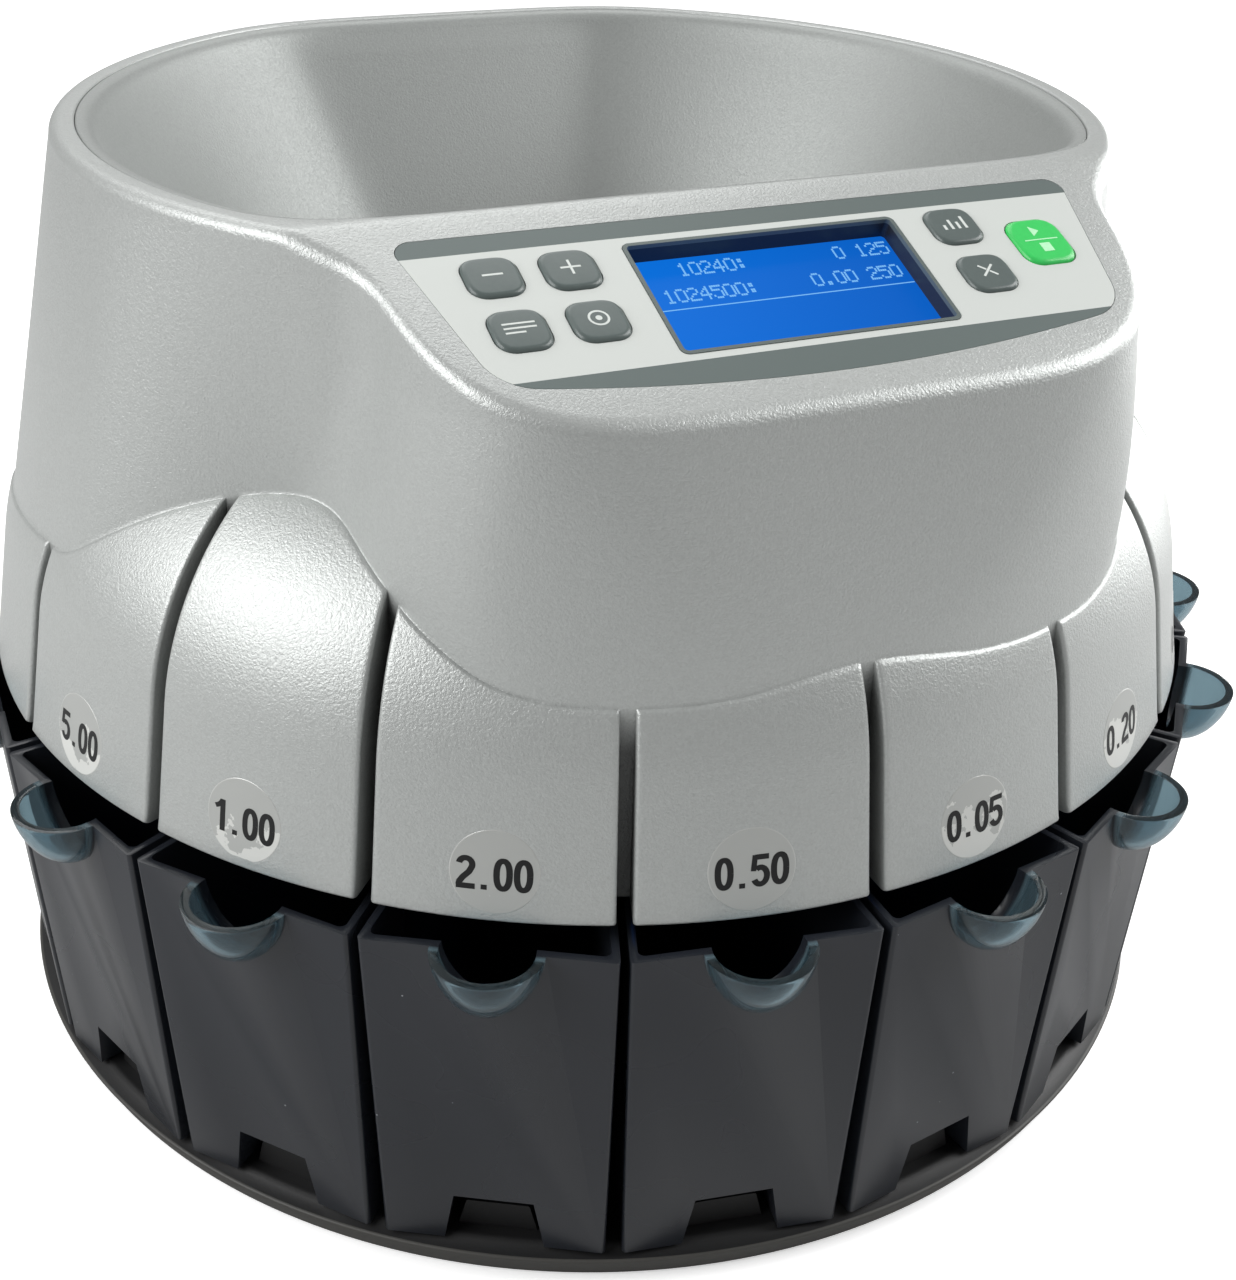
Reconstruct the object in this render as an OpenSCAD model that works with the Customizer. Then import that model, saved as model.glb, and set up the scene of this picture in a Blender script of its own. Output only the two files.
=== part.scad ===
// Desktop coin sorting machine: a hopper feeds a spinning disc, a ring-shaped rail drops each coin
// through the slot of its size, and ten cups under the petal skirt catch the sorted coins.
// Angles are counted from the front (-Y) round to the right (+X). The ring axis is the disc's axis.

/* [Cover] */
// Height of the hopper rim above the table
rim_z = 232; // [228:1:238]
// Height of the bottom edge of the petal skirt
skirt_z = 103.6; // [102:0.2:106]
// Radius of the bottom edge of the petal skirt
skirt_r = 159; // [156:0.5:162]
// Wall thickness of the cover
cover_t = 2.6; // [2:0.1:3]
// Radius of the rounded edge along the top of the cover
edge_r = 3; // [2:0.5:4]
// Radius of the blend between the tower, the console and the petals
blend_r = 6; // [3:1:9]
// Draft of the lower part of the petals, in degrees
petal_draft = 10.3; // [8:0.1:12]
// Height at which the petals start to curve inwards
petal_knee_z = 134; // [130:1:138]
// Radius of the petals' upper curve
petal_arc_r = 60; // [55:1:65]
// Width of the groove between two petals, in degrees
groove_deg = 1.34; // [1:0.02:1.8]
// Depth of the groove between two petals
groove_d = 8; // [6:0.5:9]

/* [Hopper] */
// Radius of the tower outline at the rim
tower_r = 129.5; // [127:0.5:132]
// Distance of the tower outline's centre behind the ring axis
tower_back = 10; // [6:1:12]
// Distance of the flat back of the rim behind the ring axis
tower_flat_y = 130.5; // [128:0.5:133]
// Width of the flat rim round the hopper mouth
rim_w = 5.5; // [5:0.5:8]
// Width of the soft lip inside the rim
lip_w = 5; // [3:0.5:7]
// Drop of the soft lip inside the rim
lip_drop = 4; // [2:0.5:6]
// Radius of the hole in the bottom of the hopper
throat_r = 62; // [55:1:68]
// Height of the bottom of the hopper
throat_z = 124; // [120:0.5:127]
// Distance of the hopper's flat back behind the ring axis, at the bottom
back_fall_y = 60; // [57:0.5:61]
// Wall thickness of the hopper
hopper_t = 2.2; // [1.8:0.1:2.8]

/* [Console] */
// Slope of the control panel, in degrees
panel_tilt = 21.3; // [18:0.1:24]
// Distance of the display's centre in front of the ring axis
panel_y = 102.4; // [100:0.2:105]
// Depth of the display's centre below the hopper rim
panel_drop = 11.6; // [10:0.1:13]
// Half width of the console at panel height
console_w = 88; // [84:1:90]
// Reach of the console's front at panel height
console_d = 135.6; // [133:0.2:138]
// Half width of the console where it runs into the petals
console_low_w = 99; // [96:1:101]
// Reach of the console's front where it runs into the petals
console_low_d = 143.6; // [141:0.2:146]
// Depth below the display's centre at which the lower console sizes are taken
console_fall = 60.4; // [56:0.4:64]
// Thickness of the control overlay
overlay_t = 0.8; // [0.5:0.1:1.2]
// Width of the display opening
window_w = 62.2; // [56:0.2:64]
// Height of the display opening
window_h = 32.6; // [28:0.2:34]
// Radius of the display opening's corners
window_corner = 1.4; // [0.8:0.2:3]
// Depth of the display glass below the panel
window_d = 4.5; // [4:0.1:5.5]
// Side of a square key
key_w = 12; // [10:0.5:12.5]
// Width of the start key
start_w = 13.2; // [12:0.2:14]
// Height of the start key
start_h = 15; // [13:0.5:16]
// Height of a key above the panel
key_rise = 1; // [0.6:0.1:1.4]
// Travel of a key
key_travel = 0.6; // [0.4:0.1:0.8]

/* [Cups] */
// Distance from the cup's bottom front edge out to the edge of the base
cup_inset = 0.1; // [0:0.1:1]
// How far the cup's front leans out from bottom to top
cup_lean = 4.8; // [4:0.1:5.5]
// Gap between the core drum and the cups
cup_gap = 4; // [3:0.5:7]
// Clearance of the cup above the base
cup_lift = 0.3; // [0.2:0.1:0.8]
// Clearance of the cup below the petal skirt
cup_drop = 4.7; // [4.4:0.1:8]
// Wall thickness of a cup
cup_t = 2; // [1.4:0.1:2.4]
// Half width of a finger scoop, which is also how far it stands out
scoop_r = 12.2; // [10:0.2:14]
// Depth of a finger scoop
scoop_h = 15; // [12:0.5:18]
// Width of the guide channel under a cup, at its roof
channel_w = 18.5; // [16:0.5:20]
// Height of the guide channel under a cup
channel_h = 14; // [11:0.5:15]

/* [Base] */
// Radius of the underside of the base
base_r = 158; // [156:0.5:159]
// Height of the base's ledge above the table
ledge_z = 9.6; // [9:0.1:9.7]
// Height of the rubber feet below the base
foot_h = 1.2; // [1:0.1:2]
// Wall of the base
base_t = 3; // [2.4:0.1:3.4]
// Outer radius of the core drum
drum_r = 88; // [86:0.5:90]
// Wall of the core drum
drum_t = 2.5; // [2:0.1:3]

/* [Sorter] */
// Coin diameters in the order of their slots; the first slot takes what fits no other
coin_d = [26, 24, 23, 21.5, 20.5, 19.5, 18.5, 17.5, 16.5, 15.5];
// Play of a coin in its slot
coin_play = 0.4; // [0.2:0.1:0.8]
// Distance from the coin rail's inner face out to the edge of the petal skirt
rail_inset = 31; // [29:0.5:33]
// Thickness of the sorting deck
deck_t = 3.5; // [3:0.1:4]
// Radius of the coin disc
disc_r = 80; // [72:1:86]
// Radius of the drive shaft
shaft_r = 4; // [3:0.5:5]
// Outer radius of the shaft's ball bearings
bearing_r = 11; // [10:0.5:13]
// Radius of the driven pulley
pulley_r = 34; // [28:1:40]
// Radius of the motor pulley
pinion_r = 9; // [8:0.5:12]
// Distance of the motor behind the ring axis
motor_y = 52; // [50:1:56]
// Radius of the motor
motor_r = 19; // [16:0.5:21]

/* [Back] */
// Angle at which the back cover meets the last cup
back_deg = 100.4; // [100.2:0.1:101]
// Width of the mains inlet's hole
inlet_w = 28; // [27:0.5:32]
// Height of the mains inlet's hole
inlet_h = 20; // [19:0.5:24]
// Height of the sockets' centre line above the table
socket_z = 42; // [36:1:60]

/* [Hidden] */

silver = "#b9bcba";
slate = "#33363d";
charcoal = "#55544f";
black = "#1c1d1f";
steel = "#b4b8bc";
board_green = "#2f6b45";

seat_gap = 0.15;                            // clearance of the hopper and the overlay in the cover
key_gap = 0.3;                              // clearance round a key
bezel_gap = 0.2;                            // clearance round the display bezel
gap = 0.3;                                  // clearance between pieces that only rest on each other
run_gap = 0.05;                             // radial clearance of a shaft in its bearing
cup_n = 10;                                 // one cup and one petal for each cup node
pitch = 20;                                 // angle from one cup to the next
base_rim_r = base_r + 2.6;                  // widest part of the base
cup_front_low = base_r - cup_inset;
cup_front_top = cup_front_low + cup_lean;
cup_back = drum_r + cup_gap;
cup_low_z = ledge_z + cup_lift;
cup_top_z = skirt_z - cup_drop;
panel_z = rim_z - panel_drop;
console_low_z = panel_z - console_fall;
rail_r = skirt_r - rail_inset;
ring_y = (cup_front_top * cos(pitch / 2) + scoop_r - base_rim_r) / 2;   // centres the footprint on the origin
cup_deg = [for (i = [0:cup_n - 1]) (i - (cup_n - 1) / 2) * pitch];
tan_tilt = tan(panel_tilt);
ridge_y = panel_y - (rim_z - panel_z) / tan_tilt;                   // the panel's top edge
back_line = 0.02;                           // smallest cosine used when a ray meets the flat back
board_t = 1.6;                              // thickness of the circuit boards
rim_p = 40;                                 // squareness where the rim's round part meets its flat back
mouth_p = 14;                               // squareness of the mouth's front corners
funnel_p = 60;                              // squareness of the creases beside the funnel's flat back
console_top_p = 5.2;                        // squareness of the console at panel height
console_low_p = 3.5;                        // squareness of the console where it runs into the petals
flare_from = 52;                            // angle at which the tower starts to flare out
flare_span = 26;                            // angle over which the flare grows to its full amount

// ---- shape of the cover -------------------------------------------------------------------------

function ease(x) = let (c = min(1, max(0, x))) c * c * (3 - 2 * c);
function mix(a, b, s) = a + (b - a) * s;
function soft_min(a, b, p) = pow(pow(a, -p) + pow(b, -p), -1 / p);
function soft_max(a, b, k) = max(a, b) + pow(max(0, k - abs(a - b)), 2) / (4 * k);

// Rim outline: a circle whose centre lies behind the ring axis, cut by the flat back.
function tower_top_r(t) = let (
        circle = -tower_back * cos(t) + sqrt(pow(tower_r, 2) - pow(tower_back * sin(t), 2)),
        flat = tower_flat_y / max(back_line, -cos(t)))
    soft_min(circle, flat, rim_p);

// The tower flares out to the skirt, except beside the console, where it stands upright.
function tower_wall_r(t, z) = let (
        top = tower_top_r(t),
        flare = ease((abs(t) - flare_from) / flare_span))
    top + (skirt_r - top) * flare * (rim_z - z) / (rim_z - skirt_z);

// Console outline: a superellipse that grows wider and rounder towards the petals.
function console_r(t, z) = let (
        s = max(0, (panel_z - console_edge_drop - z) / (panel_z - console_edge_drop - console_low_z)),
        w = mix(console_w, console_low_w, s),
        d = mix(console_d, console_low_d, s),
        p = mix(console_top_p, console_low_p, min(1.2, s)))
    cos(t) <= 0 ? 0 : pow(pow(abs(sin(t)) / w, p) + pow(cos(t) / d, p), -1 / p);
console_edge_drop = (console_d - panel_y) * tan_tilt;

// Petal profile: a drafted lower part that runs tangentially into an arc.
petal_knee_r = skirt_r - (petal_knee_z - skirt_z) * tan(petal_draft);
petal_c_r = petal_knee_r - petal_arc_r * cos(petal_draft);
petal_c_z = petal_knee_z - petal_arc_r * sin(petal_draft);
function petal_r(z) = z <= petal_knee_z ? skirt_r - (z - skirt_z) * tan(petal_draft)
    : petal_c_r + sqrt(max(0, pow(petal_arc_r, 2) - pow(z - petal_c_z, 2)));

petal_top_z = petal_c_z + petal_arc_r - 0.05;

function wall_r(t, z) = soft_max(tower_wall_r(t, z), console_r(t, z), blend_r);
function cover_r(t, z) = z > petal_c_z + petal_arc_r ? wall_r(t, z)
    : soft_max(wall_r(t, z), petal_r(z), blend_r / 3);

// Floor of a groove, which runs out at the wall where the petals meet it.
function groove_r(t, z, zj) = max(cover_r(t, z) - groove_d, wall_r(t, zj));

// Height at which the petals' dome meets the wall above it, by halving the interval.
function junction_z(t, low, high, steps) = let (mid = (low + high) / 2)
    steps == 0 ? mid
    : petal_r(mid) > wall_r(t, mid) ? junction_z(t, mid, high, steps - 1)
    : junction_z(t, low, mid, steps - 1);

// Height of the top surface: the flat rim, or the sloping panel in front of the ridge.
function panel_plane_z(t, r) = panel_z + (panel_y - r * cos(t)) * tan_tilt;
function top_z(t, r) = min(rim_z, panel_plane_z(t, r));
function under_z(t, r) = min(rim_z + mouth_gap * tan_tilt, panel_plane_z(t, r));
function edge_radius(t) = cover_r(t, top_z(t, cover_r(t, top_z(t, cover_r(t, rim_z)))) - edge_r);

// Mouth outline: the rim's inner edge, cut straight along the ridge behind the panel.
mouth_gap = 1.5;
mouth_front = ridge_y - mouth_gap;
function mouth_r(t) = let (side = tower_top_r(t) - rim_w)
    cos(t) <= back_line ? side : soft_min(side, mouth_front / cos(t), mouth_p);

// ---- shells made of columns of [radius, height] points --------------------------------------------

// Closed skin over a ring of columns; each column is a closed loop of [angle, radius, height] points.
module ring_skin(columns) {
    n = len(columns);
    m = len(columns[0]);
    points = [for (c = columns) for (q = c) [q[1] * sin(q[0]), -q[1] * cos(q[0]), q[2]]];
    faces = [for (i = [0:n - 1]) for (j = [0:m - 1]) let (
            this = i * m,
            next = (i + 1) % n * m,
            up = (j + 1) % m)
        each [[this + j, this + up, next + up], [this + j, next + up, next + j]]];
    polyhedron(points, faces, convexity = 8);
}

// Solid between two outlines with the same number of points.
module taper(low, z0, high, z1) {
    n = len(low);
    points = concat([for (q = low) [q[0], q[1], z0]], [for (q = high) [q[0], q[1], z1]]);
    caps = [[for (i = [0:n - 1]) i], [for (i = [n - 1:-1:0]) n + i]];
    sides = [for (i = [0:n - 1]) let (k = (i + 1) % n) each [[i, n + i, n + k], [i, n + k, k]]];
    polyhedron(points, concat(caps, sides), convexity = 4);
}

function unit(v) = v / norm(v);
function corner_arc(a, b, c, r, n) = let (
        u = unit(a - b),
        w = unit(c - b),
        half = acos(u * w) / 2,
        mid = b + unit(u + w) * r / sin(half),
        p = b + u * r / tan(half) - mid,
        q = b + w * r / tan(half) - mid)
    [for (i = [0:n]) mid + unit(p * (1 - i / n) + q * i / n) * r];
function rounded(pts, r, n) = let (k = len(pts))
    [for (i = [0:k - 1]) each corner_arc(pts[(i + k - 1) % k], pts[i], pts[(i + 1) % k], r, n)];

// Rounded rectangle built from plain squares and circles.
module soft_rect(w, h, r) {
    square([w - 2 * r, h], center = true);
    square([w, h - 2 * r], center = true);
    for (x = [-1, 1])
        for (y = [-1, 1])
            translate([x * (w / 2 - r), y * (h / 2 - r)])
                circle(r, $fn = 32);
}

module on_ring() {
    translate([0, ring_y, 0])
        children();
}

// Places a piece on the panel: x to the right, y up the slope, z out of the panel.
module on_panel() {
    on_ring()
        translate([0, -panel_y, panel_z])
            rotate([panel_tilt, 0, 0])
                children();
}

module at_angle(t, r) {
    rotate([0, 0, t])
        translate([0, -r, 0])
            children();
}

// ---- base -----------------------------------------------------------------------------------------

base_rim_z = 7.2;
base_bevel = 0.8;
ledge_inset = 2;
foot_r = 9;
foot_inset = 25;
guide_top_z = 17;
guide_w = 15;
guide_end = cup_front_low - 5;

module base_tray() {
    color(charcoal)
        on_ring() {
            rotate_extrude($fn = 96)
                polygon([[0, foot_h], [base_r, foot_h], [base_rim_r, base_rim_z],
                    [base_rim_r - base_bevel, base_rim_z + base_bevel], [base_r - ledge_inset, ledge_z],
                    [0, ledge_z]]);
            for (t = cup_deg)
                rotate([0, 0, t])
                    guide_rail();
        }
}

// Raised rail that a cup's guide channel straddles.
module guide_rail() {
    low_w = guide_w + 4;
    translate([0, -cup_back - 2, 0])
        rotate([90, 0, 0])
            linear_extrude(guide_end - cup_back - 2)
                polygon([[-low_w / 2, ledge_z - 1], [low_w / 2, ledge_z - 1], [guide_w / 2, guide_top_z],
                    [-guide_w / 2, guide_top_z]]);
}

module rubber_feet() {
    color(black)
        on_ring()
            for (t = [45:90:315])
                at_angle(t, base_r - foot_inset)
                    cylinder(h = foot_h, r1 = foot_r - 1, r2 = foot_r, $fn = 32);
}

drum_top_z = skirt_z + 0.9;
gate_w = 40;

module core_drum() {
    color(charcoal)
        on_ring()
            difference() {
                translate([0, 0, ledge_z])
                    cylinder(h = drum_top_z - ledge_z, r = drum_r, $fn = 96);
                translate([0, 0, ledge_z - 1])
                    cylinder(h = drum_top_z, r = drum_r - drum_t, $fn = 96);
                // cable gate towards the back cover
                translate([-gate_w / 2, drum_r - 10, ledge_z + 10])
                    cube([gate_w, 20, gate_w]);
            }
}

// ---- back -----------------------------------------------------------------------------------------

back_low_r = base_r - 2.4;
back_top_z = skirt_z - gap;
back_low_z = ledge_z;
inlet_x = -34;
switch_x = 2;
port_x = 32;
switch_w = 19;
switch_h = 12.8;
port_w = 13;
port_h = 11;
blade_w = 2;
socket_y = sqrt(pow(back_low_r, 2) - pow(inlet_x - inlet_w, 2)) - 1;

// Outer profile of the back, set in by a distance.
function back_profile(inset, inner) = [[inner, back_low_z], [back_low_r - inset, back_low_z],
    [skirt_r - inset, back_top_z], [inner, back_top_z]];

module back_cover() {
    color(silver)
        on_ring()
            difference() {
                union() {
                    rotate([0, 0, back_deg - 90])
                        rotate_extrude(angle = 360 - 2 * back_deg, $fn = 96)
                            polygon([[back_low_r - cover_t, back_low_z], [back_low_r, back_low_z],
                                [skirt_r, back_top_z], [skirt_r - cover_t, back_top_z]]);
                    // flat recessed panel that carries the sockets
                    intersection() {
                        translate([inlet_x - inlet_w / 2 - 8, socket_y - 3, socket_z - 22])
                            cube([port_x - inlet_x + inlet_w / 2 + port_w / 2 + 16, 20, 44]);
                        rotate_extrude($fn = 96)
                            polygon(back_profile(cover_t / 2, 0));
                    }
                    for (side = [-1, 1])
                        back_side(side);
                }
                // recess in front of the sockets
                translate([inlet_x - inlet_w / 2 - 5, socket_y, socket_z - 19])
                    cube([port_x - inlet_x + inlet_w / 2 + port_w / 2 + 10, 30, 38]);
                socket_hole(inlet_x, inlet_w, inlet_h);
                socket_hole(switch_x, switch_w, switch_h);
                socket_hole(port_x, port_w, port_h);
            }
}

module socket_hole(x, w, h) {
    translate([x - w / 2, socket_y - 10, socket_z - h / 2])
        cube([w, 20, h]);
}

// Upright end wall of the back cover beside the last cup.
module back_side(side) {
    rotate([0, 0, side * (back_deg + 0.15) - 90])
        translate([0, side > 0 ? cover_t : 0, 0])
            rotate([90, 0, 0])
                linear_extrude(cover_t)
                    polygon(back_profile(cover_t / 2, drum_r + gap));
}

module mains_inlet() {
    color(black)
        on_ring()
            translate([inlet_x, socket_y, socket_z])
                rotate([90, 0, 0]) {
                    difference() {
                        union() {
                            translate([0, 0, -2])
                                linear_extrude(2)
                                    soft_rect(inlet_w + 3, inlet_h + 4, 3);
                            linear_extrude(18)
                                square([inlet_w - gap, inlet_h - gap], center = true);
                        }
                        translate([0, 0, -3])
                            linear_extrude(18)
                                soft_rect(inlet_w - 3.6, inlet_h - 3.6, 2.5);
                    }
                    // blades: live and neutral below, earth above
                    for (q = [[-7, -2], [7, -2], [0, 2]])
                        translate([q[0] - blade_w / 2, q[1] - blade_w, -1])
                            cube([blade_w, 2 * blade_w, 17]);
                }
}

module switch_housing() {
    color(black)
        on_ring()
            translate([switch_x, socket_y, socket_z])
                rotate([90, 0, 0])
                    difference() {
                        union() {
                            translate([0, 0, -1.6])
                                linear_extrude(1.6)
                                    soft_rect(switch_w + 2, switch_h + 2.2, 1);
                            linear_extrude(16)
                                square([switch_w - gap, switch_h - gap], center = true);
                        }
                        translate([0, 0, -3])
                            linear_extrude(13)
                                square([switch_w - 4, switch_h - 2.8], center = true);
                    }
}

rocker_deg = 9;
rocker_play = 2 * gap;

module power_switch() {
    color(black)
        on_ring()
            translate([switch_x, socket_y - 4, socket_z])
                rotate([rocker_deg, 0, 0])
                    rotate([0, 90, 0])
                        translate([0, 0, -(switch_w - 4 - rocker_play) / 2])
                            linear_extrude(switch_w - 4 - rocker_play)
                                polygon([[0, -4.5], [-3.2, -1.4], [-3.9, 5.6],
                                    [0, 4.9], [3.9, 5.6], [3.2, -1.4]]);
}

module printer_port() {
    color(black)
        on_ring()
            translate([port_x, socket_y, socket_z])
                rotate([90, 0, 0])
                    difference() {
                        union() {
                            translate([0, 0, -0.8])
                                linear_extrude(0.8)
                                    square([port_w + 1.6, port_h + 1.6], center = true);
                            linear_extrude(16)
                                square([port_w - gap, port_h - gap], center = true);
                        }
                        translate([0, 0, -2])
                            linear_extrude(14) {
                                square([port_w - 3.2, port_h - 4.2], center = true);
                                // notch for the plug's latch
                                translate([0, -4])
                                    square([5, 3], center = true);
                            }
                    }
}

// ---- sorter ---------------------------------------------------------------------------------------

deck_z = drum_top_z;
deck_top = deck_z + deck_t;
deck_r = skirt_r - groove_d - cover_t - (deck_top - skirt_z) * tan(petal_draft) - gap;
hub_r = bearing_r + 4;
hub_low_z = 76;
fin_t = 2;
slot_len = 30;

module sorting_deck() {
    color(charcoal)
        on_ring()
            difference() {
                union() {
                    translate([0, 0, deck_z])
                        cylinder(h = deck_t, r = deck_r, $fn = 96);
                    translate([0, 0, hub_low_z])
                        cylinder(h = deck_z - hub_low_z + 1, r = hub_r, $fn = 48);
                    // fins that keep the coins of neighbouring cups apart
                    for (t = [cup_deg[0] + pitch / 2:pitch:cup_deg[cup_n - 1]])
                        rotate([0, 0, t])
                            translate([-fin_t / 2, -deck_r + 6, cup_top_z + 1])
                                cube([fin_t, deck_r - drum_r - 8, deck_z - cup_top_z - 0.5]);
                }
                // graduated coin slots
                for (i = [0:cup_n - 1])
                    rotate([0, 0, cup_deg[i]])
                        translate([-slot_len / 2, -rail_r, deck_z - 1])
                            cube([slot_len, coin_d[i] + coin_play, deck_t + 2]);
                translate([0, 0, hub_low_z - 1])
                    cylinder(h = bearing_h + 1, r = bearing_r + run_gap, $fn = 48);
                translate([0, 0, deck_top - bearing_h])
                    cylinder(h = bearing_h + 1, r = bearing_r + run_gap, $fn = 48);
                translate([0, 0, hub_low_z - 1])
                    cylinder(h = deck_top, r = shaft_r + 3, $fn = 48);
            }
}

rail_h = 7;
rail_t = 2;

module coin_rail() {
    color(steel)
        on_ring()
            translate([0, 0, deck_top])
                difference() {
                    cylinder(h = rail_h, r = rail_r + rail_t, $fn = 96);
                    translate([0, 0, -1])
                        cylinder(h = rail_h + 2, r = rail_r, $fn = 96);
                }
}

strip_w = 12;
strip_deg = 100;                            // the strip reaches this far to both sides
sensor_w = 8;
sensor_d = 6;
sensor_h = 5;

module sensor_strip() {
    color(board_green)
        on_ring()
            translate([0, 0, deck_top])
                rotate([0, 0, 270 - strip_deg])
                    rotate_extrude(angle = 2 * strip_deg, $fn = 96)
                        translate([rail_r + rail_t + 1, 0])
                            square([strip_w, board_t]);
    color(black)
        on_ring()
            for (t = cup_deg)
                at_angle(t, rail_r + rail_t + 1 + strip_w / 2)
                    translate([-sensor_w / 2, -sensor_d / 2, deck_top + board_t])
                        cube([sensor_w, sensor_d, sensor_h]);
}

bearing_h = 7;

module bearings() {
    color(steel)
        on_ring()
            for (z = [hub_low_z, deck_top - bearing_h])
                translate([0, 0, z])
                    difference() {
                        cylinder(h = bearing_h, r = bearing_r, $fn = 48);
                        translate([0, 0, -1])
                            cylinder(h = bearing_h + 2, r = shaft_r + run_gap, $fn = 48);
                    }
}

shaft_low_z = 60;
disc_z = deck_top + 1;
disc_t = 3;

module drive_shaft() {
    color(steel)
        on_ring()
            translate([0, 0, shaft_low_z + 4])
                cylinder(h = disc_z - shaft_low_z - 4 + disc_t, r = shaft_r, $fn = 48);
}

cone_r = 34;
cone_top_r = 16;
cone_h = 6.5;
rib_len = 28;
rib_w = 3;

module coin_disc() {
    color(steel)
        on_ring()
            difference() {
                union() {
                    translate([0, 0, disc_z])
                        cylinder(h = disc_t, r = disc_r, $fn = 96);
                    translate([0, 0, disc_z + disc_t - 0.5])
                        cylinder(h = cone_h + 0.5, r1 = cone_r, r2 = cone_top_r, $fn = 96);
                    // low ribs that throw the coins outwards
                    for (a = [0:60:300])
                        rotate([0, 0, a])
                            translate([cone_r - 4, -rib_w / 2, disc_z + disc_t - 0.5])
                                cube([rib_len, rib_w, 2]);
                }
                translate([0, 0, disc_z - 1])
                    cylinder(h = disc_t + 1, r = shaft_r, $fn = 48);
            }
}

cap_z = disc_z + disc_t + cone_h;

module disc_cap() {
    color(black)
        on_ring()
            translate([0, 0, cap_z])
                rotate_extrude($fn = 64)
                    polygon([[0, 0], [12, 0], [11, 5], [8, 8], [0, 10]]);
}

finger_n = 18;
finger_t = 2.5;

module sweeper_wheel() {
    color(slate)
        on_ring()
            translate([0, 0, disc_z + disc_t]) {
                difference() {
                    cylinder(h = finger_t, r = disc_r, $fn = 96);
                    translate([0, 0, -1])
                        cylinder(h = finger_t + 2, r = disc_r - 6, $fn = 96);
                }
                // flexible fingers that reach down beside the disc and sweep the coins along the rail
                for (i = [0:finger_n - 1])
                    rotate([90, 0, i * 360 / finger_n])
                        translate([0, 0, -1])
                            linear_extrude(2)
                                polygon([[disc_r - 4, 0.6], [disc_r + gap, 0.6],
                                    [disc_r + gap, -disc_t - gap], [rail_r - 2, -disc_t - gap], [rail_r - 2, 0],
                                    [disc_r + 6, finger_t - 0.6], [disc_r - 4, finger_t - 0.6]]);
            }
}

pulley_z = 66;
pulley_h = 6;
rim_t = 1.2;
belt_t = 1.6;

// Belt pulley with a rim above and below the belt.
module flanged_pulley(r, rim, bore) {
    difference() {
        union() {
            cylinder(h = pulley_h, r = r, $fn = 64);
            for (z = [-rim_t, pulley_h])
                translate([0, 0, z])
                    cylinder(h = rim_t, r = r + rim, $fn = 64);
        }
        translate([0, 0, -rim_t - 1])
            cylinder(h = pulley_h + 2 * rim_t + 2, r = bore, $fn = 48);
    }
}

module driven_pulley() {
    color(black)
        on_ring()
            translate([0, 0, pulley_z])
                flanged_pulley(pulley_r, 2.6, shaft_r);
}

motor_shaft_r = 3;

module motor_pulley() {
    color(steel)
        on_ring()
            translate([0, motor_y, pulley_z])
                flanged_pulley(pinion_r, 2, motor_shaft_r);
}

module motor_shaft() {
    color(steel)
        on_ring()
            translate([0, motor_y, bracket_z - 2])
                cylinder(h = pulley_z + pulley_h + rim_t - bracket_z + 2, r = motor_shaft_r, $fn = 48);
}

belt_lean = asin((pulley_r - pinion_r) / motor_y);

module belt_outline(grow) {
    circle(pulley_r + grow, $fn = 96);
    translate([0, motor_y])
        circle(pinion_r + grow, $fn = 64);
    polygon([
        [(pulley_r + grow) * cos(belt_lean), (pulley_r + grow) * sin(belt_lean)],
        [(pinion_r + grow) * cos(belt_lean), motor_y + (pinion_r + grow) * sin(belt_lean)],
        [-(pinion_r + grow) * cos(belt_lean), motor_y + (pinion_r + grow) * sin(belt_lean)],
        [-(pulley_r + grow) * cos(belt_lean), (pulley_r + grow) * sin(belt_lean)]]);
}

module drive_belt() {
    color(black)
        on_ring()
            translate([0, 0, pulley_z + 0.5])
                linear_extrude(pulley_h - 1)
                    difference() {
                        belt_outline(belt_t + 0.2);
                        belt_outline(0.2);
                    }
}

bracket_z = 58;
bracket_t = 2.5;
motor_low_z = 14;
bracket_w = 50;
bracket_d = 44;
bracket_y = motor_y - 24;
post_r = 3;

module motor_bracket() {
    color(steel)
        on_ring()
            difference() {
                translate([-bracket_w / 2, bracket_y, bracket_z])
                    cube([bracket_w, bracket_d, bracket_t]);
                translate([0, motor_y, bracket_z - 1])
                    cylinder(h = bracket_t + 2, r = 6, $fn = 48);
            }
}

module bracket_posts() {
    color(steel)
        on_ring()
            for (x = [-1, 1])
                for (y = [bracket_y + post_r + 1, bracket_y + bracket_d - post_r - 2])
                    translate([x * (bracket_w / 2 - post_r), y, ledge_z])
                        cylinder(h = bracket_z - ledge_z, r = post_r, $fn = 24);
}

module drive_motor() {
    color(steel)
        on_ring()
            translate([0, motor_y, motor_low_z])
                difference() {
                    union() {
                        cylinder(h = bracket_z - motor_low_z, r = motor_r, $fn = 64);
                        cylinder(h = bracket_z - motor_low_z + 1.5, r = 5.7, $fn = 48);
                    }
                    translate([0, 0, bracket_z - motor_low_z - 4])
                        cylinder(h = 10, r = motor_shaft_r + run_gap, $fn = 48);
                }
}

main_w = 110;
main_d = 70;
main_y = -60;
standoff_h = 6;
standoff_inset = 5;
main_top = ledge_z + standoff_h + board_t;

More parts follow.
